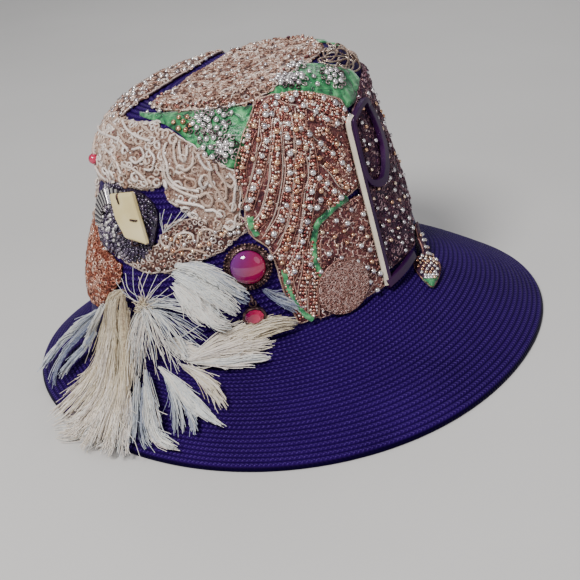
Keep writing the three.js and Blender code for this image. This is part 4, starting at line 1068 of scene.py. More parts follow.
FINE_CORDS = [
    [(-181, .61), (-159, .62), (-145.5, .618), (-136.5, .598)],
    [(-163, .652), (-149, .642), (-141, .62), (-133.5, .612)],
    [(-150, .665), (-140.5, .642), (-132.5, .628), (-125, .618)],
    [(-159, .595), (-149.5, .585), (-143.5, .57), (-139.5, .54)],
    [(-154, .592), (-149, .6), (-144.5, .588), (-148.5, .57), (-154, .575)],
    [(-134, .598), (-129.5, .602), (-127, .582), (-131, .568), (-134.5, .578)],
    [(-125, .598), (-122, .578), (-123, .552), (-126.5, .552)],
    [(-138, .562), (-132, .552), (-127, .532), (-125.5, .515)],
    [(-167, .57), (-165.5, .54), (-159.5, .522), (-152.5, .515)],
    [(-145, .568), (-148, .545), (-145, .528)],
    [(-135, .662), (-127.5, .642), (-124, .63)],
    [(-176, .6), (-172, .57), (-176, .545), (-179, .57)],
]
SCALLOP_CORDS = [
    [(-121, .368), (-120.5, .345), (-118, .33), (-116.5, .345)],
    [(-115.5, .345), (-114.5, .362), (-111.5, .368), (-108.5, .36), (-108, .34)],
    [(-106.5, .335), (-106, .358), (-103.5, .368), (-101, .36), (-100, .34)],
    [(-117.5, .31), (-112.5, .322), (-108, .315), (-104, .3)],
    [(-97.5, .335), (-96, .352), (-93, .362), (-90.5, .36)],
]
TOP_CORDS = [
    [(-85, .69), (-93, .697), (-101, .707), (-112, .717), (-122, .726), (-133, .736), (-145, .76),
     (-155, .812)],
    [(-85, .69), (-78.5, .7), (-70, .71), (-52, .745), (-36, .76), (-20, .745), (10, .74), (40, .745)],
]
WIRE_LOOPS = [
    [(-23.5, .71), (-27, .68), (-19.5, .658), (-6, .645), (8, .65), (4.5, .682)],
    [(-26.5, .71), (-30, .67), (-20.5, .642), (-8, .622), (5.5, .612)],
    [(-29, .658), (-27, .635), (-18.5, .62), (-12.5, .635), (-16.5, .66)],
    [(-13, .722), (-6.5, .692), (-2.5, .658), (-6.5, .628)],
    [(-24, .635), (-20, .615), (-11, .602), (-3.5, .62), (3.5, .64), (7, .66)],
    [(-4, .715), (-18, .715), (-23, .688), (-11.5, .68), (-3, .698)],
    [(-16, .67), (-13.5, .648), (-19.5, .63), (-25.5, .642), (-23.5, .662)],
    [(2, .71), (6, .69), (2, .67), (-2, .685)], [(-9, .7), (-5, .71), (-1, .695), (-5, .68)],
    [(-15, .7), (-11, .71), (-8, .695), (-12, .684)],
]


TOP_OFF = PATCH_GAP + PATCH_THICK
GOLDEN_TURN = 2.39996


def at_place(angle, up):
    across, rise, out = crown_axes(angle, up)
    return crown_point(angle, up), across, rise, out


def flat_spots(angle, up, xy, off, turn=0.0, curved=True):
    """Places across and up from a spot on the crown, and how they face."""
    xy = np.asarray(xy, float)
    cos, sin = math.cos(math.radians(turn)), math.sin(math.radians(turn))
    x, y = xy[:, 0] * cos - xy[:, 1] * sin, xy[:, 0] * sin + xy[:, 1] * cos
    origin, across, rise, out = at_place(angle, up)
    if not curved:
        return origin + x[:, None] * across + y[:, None] * rise + np.asarray(off)[..., None] * out, out
    per_degree = np.linalg.norm(crown_point(angle + 1, up) - crown_point(angle - 1, up)) / 2
    degrees, ups = angle + x / per_degree, up + y / PROFILE
    return crown_point(degrees, ups, off), crown_axes(degrees, ups)[2]


def on_crown(stops, off, step=0.9, closed=False):
    """A line of points over the crown through stops of angle and share up."""
    line = crown_route(stops, step, closed)
    return crown_point(line[:, 0], line[:, 1], off)


def sunflower(count, reach):
    """Turns and reaches that fill a round evenly."""
    return np.arange(count) * GOLDEN_TURN, reach * np.sqrt((np.arange(count) + 0.5) / count)


straw_brim()
straw_crown()

CLOTHS = {
    "front": (plain_relief, BEADED_GROUND),
    "leaf": (plain_relief, BEADED_GROUND),
    "right": (plain_relief, PURPLE_GROUND_IN_SHADE),
    "satin_right": (creased, GREEN_SATIN, 1.2, 0.1),
    "satin_left": (creased, GREEN_SATIN, 1.2, 0.1),
    "swirl": (swirled, CREAM_GROUND, PATCH_THICK, 0.5),
    "fine": (domed(PATCHES["fine"][1], 1.6), CREAM_GROUND),
    "copper": (domed(PATCHES["copper"][1], 4.0), COPPER_GROUND),
    "scallop": (plain_relief, GOLD_GROUND, PATCH_THICK, 0.5),
    "shoulder": (plain_relief, GOLD_GROUND),
    "back_brocade": (swirled, CREAM_GROUND),
    "back_leaf": (plain_relief, BEADED_GROUND),
    "back_gold": (plain_relief, GOLD_GROUND),
    "back_satin": (creased, GREEN_SATIN, 1.2, 0.1),
}
cloths = {key: sew_cloth(*PATCHES[key], *how) for key, how in CLOTHS.items()}
cloths["top"] = sew_top()

# Coil embroidery and seed beads strewn over each ground: gap, smallest, largest and seed
EMBROIDERY = [
    ("top_curls", CURL, 2.7, 1.2, 1.7, 3, GOLD_THREAD),
    ("top_worms", WORM, 2.9, 1.2, 1.7, 4, GOLD_THREAD),
    ("top_seeds", SEED, 7.0, 0.8, 1.15, 23, SILVER_BEAD),
    ("front_curls", WORM, 2.6, 0.8, 1.2, 5, BROWN_THREAD),
    ("front_seeds", SEED, 3.4, 0.5, 0.85, 6, SEED_BEAD),
    ("leaf_curls", WORM, 2.0, 0.9, 1.3, 7, ROSE_THREAD),
    ("leaf_seeds", SEED, 3.2, 0.5, 0.8, 8, SEED_BEAD),
    ("right_curls", CURL, 2.6, 0.9, 1.3, 9, PURPLE_THREAD_IN_SHADE),
    ("right_seeds", SEED, 2.6, 0.5, 1.0, 10, PURPLE_SEED_IN_SHADE),
    ("copper_curls", CURL, 2.0, 1.0, 1.5, 11, COPPER_THREAD),
    ("copper_seeds", SEED, 3.6, 0.6, 1.0, 24, SEED_BEAD),
    ("fine_curls", CURL, 2.5, 1.2, 2.2, 12, CREAM_THREAD),
    ("fine_seeds", SEED, 5.0, 0.7, 1.1, 25, SEED_BEAD),
    ("swirl_curls", CURL, 4.0, 1.4, 2.6, 13, CREAM_THREAD),
    ("swirl_seeds", SEED, 5.5, 0.8, 1.3, 26, SEED_BEAD),
    ("scallop_curls", CURL, 2.3, 1.0, 1.5, 14, PALE_THREAD),
    ("scallop_seeds", SEED, 2.6, 0.6, 1.1, 15, SEED_BEAD),
    ("shoulder_curls", CURL, 3.2, 1.2, 1.8, 16, GOLD_THREAD),
    ("shoulder_seeds", SEED, 4.2, 1.2, 1.9, 22, SILVER_BEAD),
    ("back_brocade_curls", CURL, 4.2, 1.4, 2.4, 17, CREAM_THREAD),
    ("back_leaf_curls", CURL, 3.4, 1.1, 1.6, 18, BROWN_THREAD),
    ("back_leaf_seeds", SEED, 3.4, 0.7, 1.2, 19, SEED_BEAD),
    ("back_gold_curls", CURL, 3.4, 1.2, 1.7, 20, GOLD_THREAD),
    ("back_gold_seeds", SEED, 5.5, 0.9, 1.4, 21, SILVER_BEAD),
]
for name, shape, *how in EMBROIDERY:
    strewn(name, shape, cloths[name.rsplit("_", 1)[0]], *how)

# Charted beads: how far off the cloth, and radius
BEADING = [
    ("front_silver_beads", FRONT_SILVER, 1.3, 1.8, SILVER_BEAD),
    ("front_gold_beads", FRONT_GOLD, 1.2, 1.55, GOLD_BEAD),
    ("leaf_silver_beads", LEAF_SILVER, 1.1, 1.7, SILVER_BEAD),
    ("leaf_gold_beads", LEAF_GOLD, 1.0, 1.3, GOLD_BEAD),
    ("right_silver_beads", RIGHT_SILVER, 1.0, 1.35, SILVER_BEAD),
    ("right_gold_beads", RIGHT_GOLD, 0.9, 1.2, GOLD_BEAD),
    ("satin_silver_beads", SATIN_SILVER, 0.2, 1.4, SILVER_BEAD),
    ("top_silver_beads", TOP_SILVER, 0.8, 1.15, SILVER_BEAD),
    ("cluster_gold_beads", GOLD_CLUSTER, 0.2, 1.4, GOLD_BEAD),
    ("scallop_silver_beads", SCALLOP_SILVER, 0.9, 1.2, SILVER_BEAD),
    ("scallop_gold_beads", SCALLOP_GOLD, 0.9, 1.25, GOLD_BEAD),
]
for name, table, off, radius, material in BEADING:
    angles, ups = np.array(table).T
    size = radius * (1 + rng.uniform(-0.12, 0.12, len(table)))
    sewn(name, BEAD, crown_point(angles, ups, TOP_OFF + off), crown_axes(angles, ups)[2], size, material)


def beside(line, shift, gap, off):
    """Points along a charted line, so far to one side of it, and how they face."""
    path = crown_route(line, gap)
    out = crown_axes(path[:, 0], path[:, 1])[2]
    spots = crown_point(path[:, 0], path[:, 1], off)
    return spots + np.cross(unit(np.gradient(spots, axis=0)), out) * shift, out


def bead_ranks(name, lines, aside, gap, material, off, jitter):
    """Beads in ranks along each line, so far aside of it, in millimetres."""
    points, outward = [], []
    for line in lines:
        for shift in aside:
            spots, out = beside(line, shift, gap, off)
            points.append(spots + rng.normal(0, jitter, spots.shape))
            outward.append(out)
    points = np.concatenate(points)
    sewn(name, SEED, points, np.concatenate(outward), 0.95 * rng.uniform(0.75, 1.2, len(points)), material)


def flowers():
    beads, coils = [], []
    for angle, up, reach, count in FLOWERS:
        rounds = ((0, 1, beads, 0.5), (reach, count, beads, 0.5), (reach + 2.6, count + 4, coils, -0.2))
        for ring, number, store, off in rounds:
            turns = np.arange(number) * 2 * math.pi / number + angle
            xy = np.stack([ring * np.cos(turns), ring * np.sin(turns)], -1) + rng.normal(0, 0.2, (number, 2))
            store.append(flat_spots(angle, up, xy, TOP_OFF + off))
    for name, shape, store, radius, material in (
        ("flower_beads", BEAD, beads, 1.7, SILVER_BEAD), ("flower_coils", CURL, coils, 1.15, DARK_THREAD)
    ):
        spots, outs = (np.concatenate(part) for part in zip(*store))
        sewn(name, shape, spots, outs, radius, material)


flowers()
bead_ranks("top_edge_beads", TOP_CORDS, (0,), 3.1, SEED_BEAD, TOP_OFF + 0.5, 0.6)
bead_ranks("front_ranks", FRONT_COLUMNS, (-1.5, 0, 1.5), 1.9, RANK_BEAD, TOP_OFF + 0.35, 0.22)
between = [beside(line, shift, 1.0, TOP_OFF + 0.35)[0] for line in FRONT_COLUMNS[:9] for shift in (-2.9, 2.9)]
corded("front_rank_cords", between, 0.5, BROWN_THREAD)

CORDING = [
    ("front_cords", FRONT_CORDS, 0.4, 0.5, PALE_THREAD),
    ("swirl_cords", SWIRL_CORDS, 1.0, 1.15, CREAM_THREAD),
    ("fine_cords", FINE_CORDS, 1.8, 0.95, CREAM_THREAD),
    ("scallop_cords", SCALLOP_CORDS, 0.6, 0.85, CREAM_THREAD),
]
for name, table, off, radius, material in CORDING:
    corded(name, [on_crown(line, TOP_OFF + off) for line in table], radius, material)

EDGES = [
    ("front", GOLD_THREAD, 0.75), ("leaf", BROWN_THREAD, 0.55), ("right", PURPLE_THREAD_IN_SHADE, 0.65),
    ("copper", COPPER_THREAD, 0.8), ("scallop", GOLD_THREAD, 0.75), ("shoulder", GOLD_THREAD, 0.9),
    ("back_brocade", CREAM_THREAD, 0.7), ("back_leaf", BROWN_THREAD, 0.7), ("back_gold", GOLD_THREAD, 0.7),
    ("swirl", CREAM_THREAD, 0.7), ("fine", CREAM_THREAD, 0.7), ("top", GOLD_THREAD, 0.8),
]
for key, material, radius in EDGES:
    cloth = cloths[key]
    edge = resampled(cloth["edge"], 1.0)
    degrees, up = cloth["chart"].round(edge + unit(edge.mean(0) - edge) * 0.3)
    line = crown_point(degrees, up, PATCH_GAP + cloth["thick"] * 0.62)
    corded(cloth["name"].replace("_cloth", "_edge_cord"), [line], radius, material, closed=True)

GREEN_EDGES = [
    [(-51, .318), (-56, .312), (-60, .302), (-64.5, .288), (-66.5, .262), (-68, .22), (-68.2, .175),
     (-67, .13)],
    [(-87.5, .372), (-87.3, .345), (-86, .315)],
    [(-79, .195), (-78.8, .147), (-77.5, .095), (-75.5, .05), (-73, .022)],
]


def green_edging():
    """Narrow gathered ribbon of satin that shows beyond the patches' edges."""
    ribbons = []
    for stops in GREEN_EDGES:
        line = on_crown(stops, TOP_OFF - 0.5, 0.8)
        lengths = np.arange(len(line)) * 0.8
        gather = 0.85 + 0.35 * np.sin(lengths * 1.9) + 0.25 * np.sin(lengths * 4.3)
        ribbons.append(np.column_stack([line, gather]))
    corded("green_edging", ribbons, 1.9, GREEN_SATIN, 8, 1.0, 300.0)


green_edging()


# Wirework: loops of bent wire over the bare straw
def wire_loops():
    loops = []
    for i, stops in enumerate(WIRE_LOOPS):
        line = on_crown(stops, 1.4, 1.0, True)
        swell = 0.8 * np.sin(np.linspace(0, 4 * math.pi, len(line)) + i)[:, None]
        loops.append(line + crown_axes(*stops[0])[2] * (swell + 0.5))
    corded("wire_loops", loops, 0.62, PALE_WIRE, 4, 0.8, 2.0, closed=True, stands_for=["wirework"])


wire_loops()


# Bead flap, from the crown's foot out over the brim
def flap():
    tip = brim_point(-31.5, 0.235)
    stations = [
        (crown_point(-12.5, 0.088), 3.6), (crown_point(-14, 0.05), 5.0), (brim_point(-18.5, 0.055), 7.4),
        (brim_point(-24.5, 0.12), 7.4), (brim_point(-29, 0.19), 4.8), (tip, 1.0),
    ]
    centres = smooth_stops([place for place, _ in stations], 1.3)
    at = np.linspace(0, 1, len(centres))
    half = np.interp(at, np.linspace(0, 1, len(stations)), [reach for _, reach in stations])
    tangents = unit(np.gradient(centres, axis=0))
    on_side, on_brim = crown_axes(-12.5, 0.07)[2], unit(np.array([0.15, -0.2, 1.0]))
    outs = np.array([on_side if t < 0.3 else on_brim for t in at])
    for _ in range(6):
        outs[1:-1] = unit(outs[:-2] + outs[1:-1] * 2 + outs[2:])
    sides = unit(np.cross(tangents, outs))
    normals = np.cross(sides, tangents)
    low, shares, count = PATCH_GAP + 0.9, np.linspace(-1, 1, 11), 22
    rings, faces = [], []
    for centre, side, normal, reach in zip(centres, sides, normals, half):
        base = centre + normal * low
        rings.append([base + side * s * reach + normal * (PATCH_THICK * (1 - 0.5 * s**4)) for s in shares])
        rings[-1] += [base + side * s * reach for s in shares[::-1]]
    for i in range(len(rings) - 1):
        faces += band(i * count, (i + 1) * count, count)
    faces += [tuple(range(count)), tuple(range((len(rings) - 1) * count, len(rings) * count))]
    piece = new_piece("flap_cloth", np.concatenate(rings), faces, PURPLE_GROUND_IN_SHADE)
    tidy_mesh(piece)
    piece.data.materials.append(GREEN_SATIN)
    for face in piece.data.polygons:
        if (face.center - Vector(tip * MM)).length < 0.0085:
            face.material_index = 1
    dress(piece, "flap_patch")
    length = np.linalg.norm(np.diff(centres, axis=0), axis=1).sum()
    area = (half[1:] + half[:-1]).sum() * length / (len(half) - 1)
    declare_sheet(piece, 14.8, length, area, ("crown_braid", "brim_braid"))
    spots, facing = [], []
    for i in range(2, len(rings) - 4, 2):
        for s in (-0.62, -0.2, 0.22, 0.64):
            s = s + (0.1 if i % 4 else -0.1)
            spots.append(centres[i] + normals[i] * (low + PATCH_THICK + 0.4) + sides[i] * s * half[i])
            facing.append(normals[i])
    spots, facing = np.array(spots), np.array(facing)
    pick = rng.uniform(0, 1, len(spots))
    for name, chosen, radius, material in (
        ("flap_silver_beads", pick > 0.45, 1.2, SILVER_BEAD),
        ("flap_gold_beads", pick <= 0.45, 1.05, GOLD_BEAD),
    ):
        sewn(name, BEAD, spots[chosen], facing[chosen], radius, material)
    aside = sides * half[:, None] * 0.97
    rim = np.concatenate([centres + aside, (centres - aside)[::-1]])
    rim = rim + np.concatenate([normals, normals[::-1]]) * (PATCH_GAP + 1.9)
    corded("flap_edge_cord", [rim], 0.55, BROWN_THREAD, closed=True)


flap()


# Ornaments: solids on the crown, made of an outline's rings
def oval_xy(count, wide, tall, power=2.0):
    t = np.linspace(0, 2 * math.pi, count, endpoint=False)
    bent = [np.sign(v) * np.abs(v) ** (2 / power) for v in (np.cos(t), np.sin(t))]
    return np.stack([wide * bent[0], tall * bent[1]], -1)


def boss_piece(name, spot, outline, low, tiers, material, target, turn=0.0, curved=False, flat=False):
    """A solid of an outline's rings, each scaled to its reach and lifted off the crown."""
    rings = [
        flat_spots(*spot, outline * reach if reach else [(0, 0)], low + off, turn, curved)[0]
        for reach, off in tiers
    ]
    starts = np.cumsum([0] + [len(ring) for ring in rings]).tolist()
    faces, n = [], len(outline)
    for i, (a, b) in enumerate(zip(starts, starts[1:-1])):
        if len(rings[i]) == 1:
            faces += [(a, b + (k + 1) % n, b + k) for k in range(n)]
        elif len(rings[i + 1]) == 1:
            faces += [(a + k, a + (k + 1) % n, b) for k in range(n)]
        else:
            faces += band(a, b, n)
    piece = new_piece(name, np.concatenate(rings), faces, material, flat=flat)
    tidy_mesh(piece)
    return dress(piece, target)


DISC = (-61, 0.083)
DISC_LOW = TOP_OFF + 0.45


def coiled_disc():
    tiers = [(0, 0), (0.5, 0), (1, 0), (1.03, 0.9), (0.95, 1.5), (0.5, 1.6), (0, 1.6)]
    outline = oval_xy(60, 15, 15)
    boss_piece("disc_ground", DISC, outline, DISC_LOW, tiers, GOLD_GROUND, "coiled_disc", curved=True)
    turn, reach = sunflower(760, 14.4)
    xy = np.stack([reach * np.cos(turn), reach * np.sin(turn)], -1)
    grains, _ = flat_spots(*DISC, xy, DISC_LOW + 1.75)
    sewn("disc_coil", WORM, grains, at_place(*DISC)[3], 0.62, ROSE_THREAD)
    rim, _ = flat_spots(*DISC, oval_xy(99, 14.9, 14.9), DISC_LOW + 1.2)
    corded("disc_edge_cord", [rim], 0.6, ROSE_THREAD, closed=True)


coiled_disc()

# Bent metal strip
STRIP_SHANK = [(-38.2, .526), (-40, .52), (-41, .5), (-41.4, .46), (-42.5, .33), (-44.5, .018)]
STRIP_FOOT = [(-45.2, .022), (-36, .032), (-28, .045)]
STRIP_EYE = [
    (-39.2, .495, .5), (-37, .522, .6), (-30, .538, .65), (-25.5, .53, .7), (-22.5, .46, .95),
    (-22.8, .39, 1.1), (-27, .335, 1.1), (-33, .305, 1), (-40.3, .345, .6),
]


def strip_bar(name, stops, closed=False, sloped=False, wide=4.8, thick=3.0):
    line = crown_route([(*stop, 1) if len(stop) == 2 else stop for stop in stops], 1.2, closed)
    centre = crown_point(line[:, 0], line[:, 1], TOP_OFF + 0.5)
    out = crown_axes(line[:, 0], line[:, 1])[2]
    along = np.roll(centre, -1, 0) - np.roll(centre, 1, 0) if closed else np.gradient(centre, axis=0)
    side = unit(np.cross(unit(along), out)) * (-1 if sloped else 1)
    half, bevel = wide / 2, 0.35
    profile = [(half, bevel), (half, thick - bevel), (half - bevel, thick)]
    if sloped:
        profile += [(-0.7, thick + 0.15), (0.2 - half, 1.3), (-half, 1.0), (-half, bevel), (bevel - half, 0)]
    else:
        profile += [(bevel - half, thick), (-half, thick - bevel), (-half, bevel), (bevel - half, 0)]
    profile.append((half - bevel, 0))
    rings = [[c + s * x * w + o * y for x, y in profile] for c, s, o, w in zip(centre, side, out, line[:, 2])]
    count, faces = len(profile), []
    for i in range(len(rings) if closed else len(rings) - 1):
        faces += band(i * count, (i + 1) % len(rings) * count, count)
    walls = len(faces)
    if not closed:
        faces += [tuple(range(count))[::-1], tuple(range((len(rings) - 1) * count, len(rings) * count))]
    piece = new_piece(name, np.concatenate(rings), faces, STRIP_DARK_REFLECTION, flat=True)
    for material in (STRIP_LIGHT_REFLECTION, STRIP_RED) if closed else (STRIP_LIGHT_REFLECTION,):
        piece.data.materials.append(material)
    middle, across = centre.mean(0) * MM, np.cross(out.mean(0), [0, 0, 1])
    for n, face in enumerate(piece.data.polygons):
        # The sloped side's faces take the pale painted reflection
        if sloped and n < walls and n % count in (3, 4, 5):
            face.material_index = 1
        elif closed and np.dot(np.array(face.center) - middle, across) < 0:
            if np.dot(face.normal, across) > 0.45:
                face.material_index = 2
    tidy_mesh(piece)
    return piece


dress(strip_bar("strip_shank", STRIP_SHANK, False, True, 4.3, 2.6), "strip_ornament")
dress(strip_bar("strip_foot", STRIP_FOOT))
dress(strip_bar("strip_eye", STRIP_EYE, True))

# Brooch: padded frame, bugles and beads round a pale stone
BROOCH = (-141.5, 0.4)
BROOCH_TURN = -14.0
BROOCH_OFF = PATCH_GAP + 3.4


def brooch():
    tiers = [(0, 0), (0.5, 0), (0.97, 0), (1.0, 1.2), (0.95, 2.4), (0.8, 2.9), (0.4, 3.0), (0, 3.0)]
    outline = oval_xy(56, 25, 19.5, 3)
    pad = boss_piece("brooch_pad", BROOCH, outline, PATCH_GAP, tiers, DARK_BEAD, "brooch_frame",
                     BROOCH_TURN, curved=True)
    keep_values(pad.data, tint=np.full(len(pad.data.vertices), 0.3))
    count = 430
    turn, share = sunflower(count, 1)
    bend = oval_xy(720, 24.6, 19.2, 3)[(np.degrees(turn) * 2).astype(int) % 720]
    xy = bend * share[:, None] + rng.normal(0, 0.2, (count, 2))
    off = BROOCH_OFF + np.interp(share, [0, 0.78, 1], [0.2, 0.1, -1.1])
    at, out = flat_spots(*BROOCH, xy, off, BROOCH_TURN)
    # Bead shades lower toward the right of the brooch: painted shade on the side away from the key light,
    # over random tone
    painted_right_shade = np.clip((xy[:, 0] + xy[:, 1] * 0.5 + 4) / 10, 0, 1)
    shade = rng.uniform(0, 1, count) * (1 - 0.3 * painted_right_shade) + 0.12 * (1 - painted_right_shade)
    sewn("brooch_beads", BEAD, at, out, rng.uniform(0.95, 1.3, count), DARK_BEAD, np.clip(shade, 0, 1))
    count = 30
    angles = np.radians(np.linspace(62, 215, count))
    xy = np.stack([18.5 * np.cos(angles) - 2, 13.5 * np.sin(angles)], -1)
    at, ahead = (flat_spots(*BROOCH, xy * reach, BROOCH_OFF + 1.2, BROOCH_TURN)[0] for reach in (1, 1.08))
    bugles = [[a + step * unit(b - a) for step in (-4.4, -4.2, 4.2, 4.4)] for a, b in zip(at, ahead)]
    tints = [0.85 if k % 2 else 0.12 for k in range(count)]
    corded("brooch_bugles", bugles, 0.85, BUGLE_BEAD, 6, 0.9, 40.0, tints)


brooch()

STONE = (-134, 0.412)
STONE_TURN = 11.0
STONE_LOW = BROOCH_OFF + 0.35
STONE_OUTLINE = [
    (10.0, -14.0), (9.0, 13.0), (8.3, 13.7), (-7.4, 15.2), (-8.1, 14.5), (-8.3, 2.0), (-4.8, -8.6),
    (-4.0, -9.6), (9.3, -14.6),
]


def brooch_stone():
    tiers = [(0, 0), (0.9, 0), (1, 1.4), (1, 3.2), (0.93, 4.0), (0.88, 4.2), (0, 4.2)]
    outline = np.array(STONE_OUTLINE)
    boss_piece("pale_stone", STONE, outline, STONE_LOW, tiers, YELLOW_STONE, "brooch_stone", STONE_TURN,
               flat=True)
    prongs = []
    feet = ((-1.5, 14.2, 0, -5.2), (8.6, -1.5, -4.8, 1.2), (-8.4, -6, 3.4, 0), (1, -14.2, 0, 3.4))
    for x, y, dx, dy in feet:
        xy = [(x, y), (x, y), (x + dx * 0.3, y + dy * 0.3), (x + dx, y + dy)]
        points, _ = flat_spots(*STONE, xy, STONE_LOW + np.array([-1.0, 3.6, 4.9, 4.5]), STONE_TURN, False)
        line = smooth_stops(points, 0.5)
        prongs.append(np.column_stack([line, np.linspace(1.2, 0.6, len(line))]))
    corded("stone_prongs", prongs, 0.55, ANTIQUE, 4, 0.75, 30.0)


brooch_stone()

# Cabochon, its beaded rim, and the drop below it
CABOCHON = (-90.5, 0.232)
origin, gem_across, gem_rise, gem_out = at_place(*CABOCHON)
# Purple to bright red toward the lower right: the bright side is painted glow of light through the glass
MAGENTA = gem_finish("magenta cabochon", [
    (0, (.12, .02, .20)), (.35, (.16, .004, .11)), (.6, (.24, .002, .07)), (1, (.42, .006, .07)),
], unit(gem_across * 0.8 - gem_rise * 0.6), (origin + gem_out * 6) * MM, 0.0094)
# Dark red to bright pinkish red toward the lower right: the bright end is a painted highlight and glow
RED_GLASS = gem_finish("red glass", [(0, (.09, .001, .05)), (.45, (.26, .001, .04)), (1, (.58, .01, .09))],
                       unit(gem_across * 0.8 - gem_rise * 0.4), crown_point(-90.5, 0.085, 4) * MM, 0.005)
RED_BEAD = worn_finish("red bead glass", [(.3, (.30, .006, .04)), (.7, (.60, .03, .10))],
                       0, 0.1, 300, 0.00002, coat=1)


def cabochon():
    dome = [(math.cos(a), 1 + 5.6 * math.sin(a)) for a in np.linspace(0, math.pi / 2, 13)[:-1]]
    tiers = [(0, 0), (1, 0), *dome, (0, 6.6)]
    outline = oval_xy(48, 9.4, 9.4)
    boss_piece("cabochon_dome", CABOCHON, outline, PATCH_GAP + 1.35, tiers, MAGENTA, "cabochon_stone")
    tiers = [
        (0, 0), (0.93, 0), (0.96, 1.4), (0.86, 2.7), (0.8, 3.4), (0.765, 3.6), (0.735, 3.4), (0.735, 1),
        (0, 1),
    ]
    boss_piece("cabochon_bezel", CABOCHON, oval_xy(48, 12.9, 12.9), PATCH_GAP, tiers, ANTIQUE, "cabochon_rim")
    rings = [flat_spots(*CABOCHON, oval_xy(40, reach, reach), PATCH_GAP + off, 0, False)[0]
             for reach, off in ((12.3, 2.1), (10.9, 3.2))]
    sewn("cabochon_beads", BEAD, np.concatenate(rings), gem_out, np.repeat([0.85, 0.62], 40), ANTIQUE)
    wire, _ = flat_spots(*CABOCHON, oval_xy(72, 9.75, 9.75), PATCH_GAP + 3.55, 0, False)
    corded("cabochon_wire", [wire], 0.42, ANTIQUE, 3, 0.6, 1.6, closed=True)
    at, _ = flat_spots(*CABOCHON, [(12.8, 2.6)], PATCH_GAP + 4.2, 0, False)
    sewn("cabochon_pearl", round_bead(14, 9, 0.95, "pearl"), at, gem_out, 1.9, SILVER_BEAD, 0.8)


cabochon()

for name, material in (("drop_link", ANTIQUE), ("drop_cup", ANTIQUE), ("drop_stone", RED_GLASS)):
    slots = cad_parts[name].data.materials
    slots.clear()
    slots.append(material)

centre, _, _, out = at_place(-165, 0.55)
glass_bead = round_bead(14, 9, 0.95, "glass bead")
spot = [centre + out * (TOP_OFF + 2.55)]
sewn("red_glass_bead", glass_bead, spot, out, 3.0, RED_BEAD, stands_for=["red_bead"])


# Feathers: long strands in locks, over the brim and the crown
def brim_tree():
    degrees, outs = np.meshgrid(np.arange(-185, -60, 1.0), np.linspace(0, 1, 41))
    points = brim_point(degrees.ravel(), outs.ravel())
    tree = kdtree.KDTree(len(points))
    for i, p in enumerate(points):
        tree.insert(Vector((p[0], p[1], 0)), i)
    tree.balance()
    return tree, points


BRIM_TREE, BRIM_POINTS = brim_tree()


def brim_height(point):
    _, i, far = BRIM_TREE.find(Vector((point[0], point[1], 0)))
    return BRIM_POINTS[i][2] if far < 4 else 0.0


def above_brim(line, gap=1.2):
    line = line.copy()
    for k in range(len(line)):
        line[k, 2] = max(line[k, 2], brim_height(line[k]) + gap)
    return line


LOWER_KNOT = (-126, .172)
# Locks of feather: stops of angle, place out over the brim (below 0: share up the crown), lift and half
# width; then the number of strands, the shade at the root and the shade at the tip
# Shades near 0 pick the feather finish's dark blue-grey, painted shade on pale feathers
TAN_LOCKS = [
    ([(-135, -.216, 8, 1.2), (-142, -.180, 8, 3.6), (-147, .04, 14, 5.4), (-144, .51, 10, 6),
     (-149.5, .96, 7, 7.2), (-154.5, 1.30, 5, 3.6)], 170, .86, .62),
    ([(-135, -.216, 8, 1.2), (-139, -.176, 8, 3.6), (-140.5, .14, 14, 4.8), (-138.5, .58, 11, 6),
     (-142.5, .98, 7, 7.2), (-146, 1.28, 5, 4.8)], 170, .9, .6),
    ([(-134, -.212, 8, 1.2), (-135, -.144, 8, 3.6), (-135, .19, 13, 4.2), (-133.5, .61, 10, 5.4),
     (-135, .95, 7, 6.6), (-136, 1.25, 5, 5.4)], 160, .95, .6),
    ([(-131.5, -.164, 8, 1.8), (-135.5, 0, 12, 3.6), (-132, .39, 10, 3.6), (-132.5, .74, 8, 4.2),
     (-132, 1.04, 6, 4.8)], 90, .8, .6),
    ([(-135.5, .48, 10, 2.4), (-140, .84, 9, 5.4), (-144.5, 1.13, 7, 6),
      (-150.5, 1.32, 5, 3.6)], 110, .66, .58),
    ([(-135.5, .58, 9, 2.4), (-137.5, .90, 8, 5.4), (-139.5, 1.15, 6, 6),
      (-140, 1.29, 5, 4.8)], 110, .62, .56),
    ([(-132.5, .64, 8, 2.4), (-132.5, .92, 7, 4.8), (-133, 1.12, 6, 5.4),
      (-134, 1.23, 4, 4.8)], 110, .6, .57),
    ([(-130.5, .57, 8, 1.8), (-130, .84, 7, 3.6), (-129.5, 1.05, 6, 3.6), (-129, 1.16, 4, 3)], 80, .56, .5),
    ([(-144.5, -.168, 8, 1.2), (-150.5, -.100, 8, 1.8), (-158, .14, 9, 1.8),
      (-154, .35, 8, .6)], 50, .42, .4),
    ([(-148.5, -.140, 8, 1.8), (-172.5, .27, 8, 3), (-172.5, .74, 6, 3),
      (-172.5, 1.05, 3, 1.2)], 90, .26, .3),
    ([(-153.5, -.100, 6, 1.8), (-166.5, .34, 6, 3.6), (-165.5, .73, 4, 3.6),
      (-162.5, .92, 2, 1.8)], 60, .1, .14),
    ([(-152, -.060, 6, 1.2), (-158.5, .36, 6, 2.4), (-160, .66, 5, 2.4), (-160.5, .80, 4, 1.2)], 50, .22, .3),
]
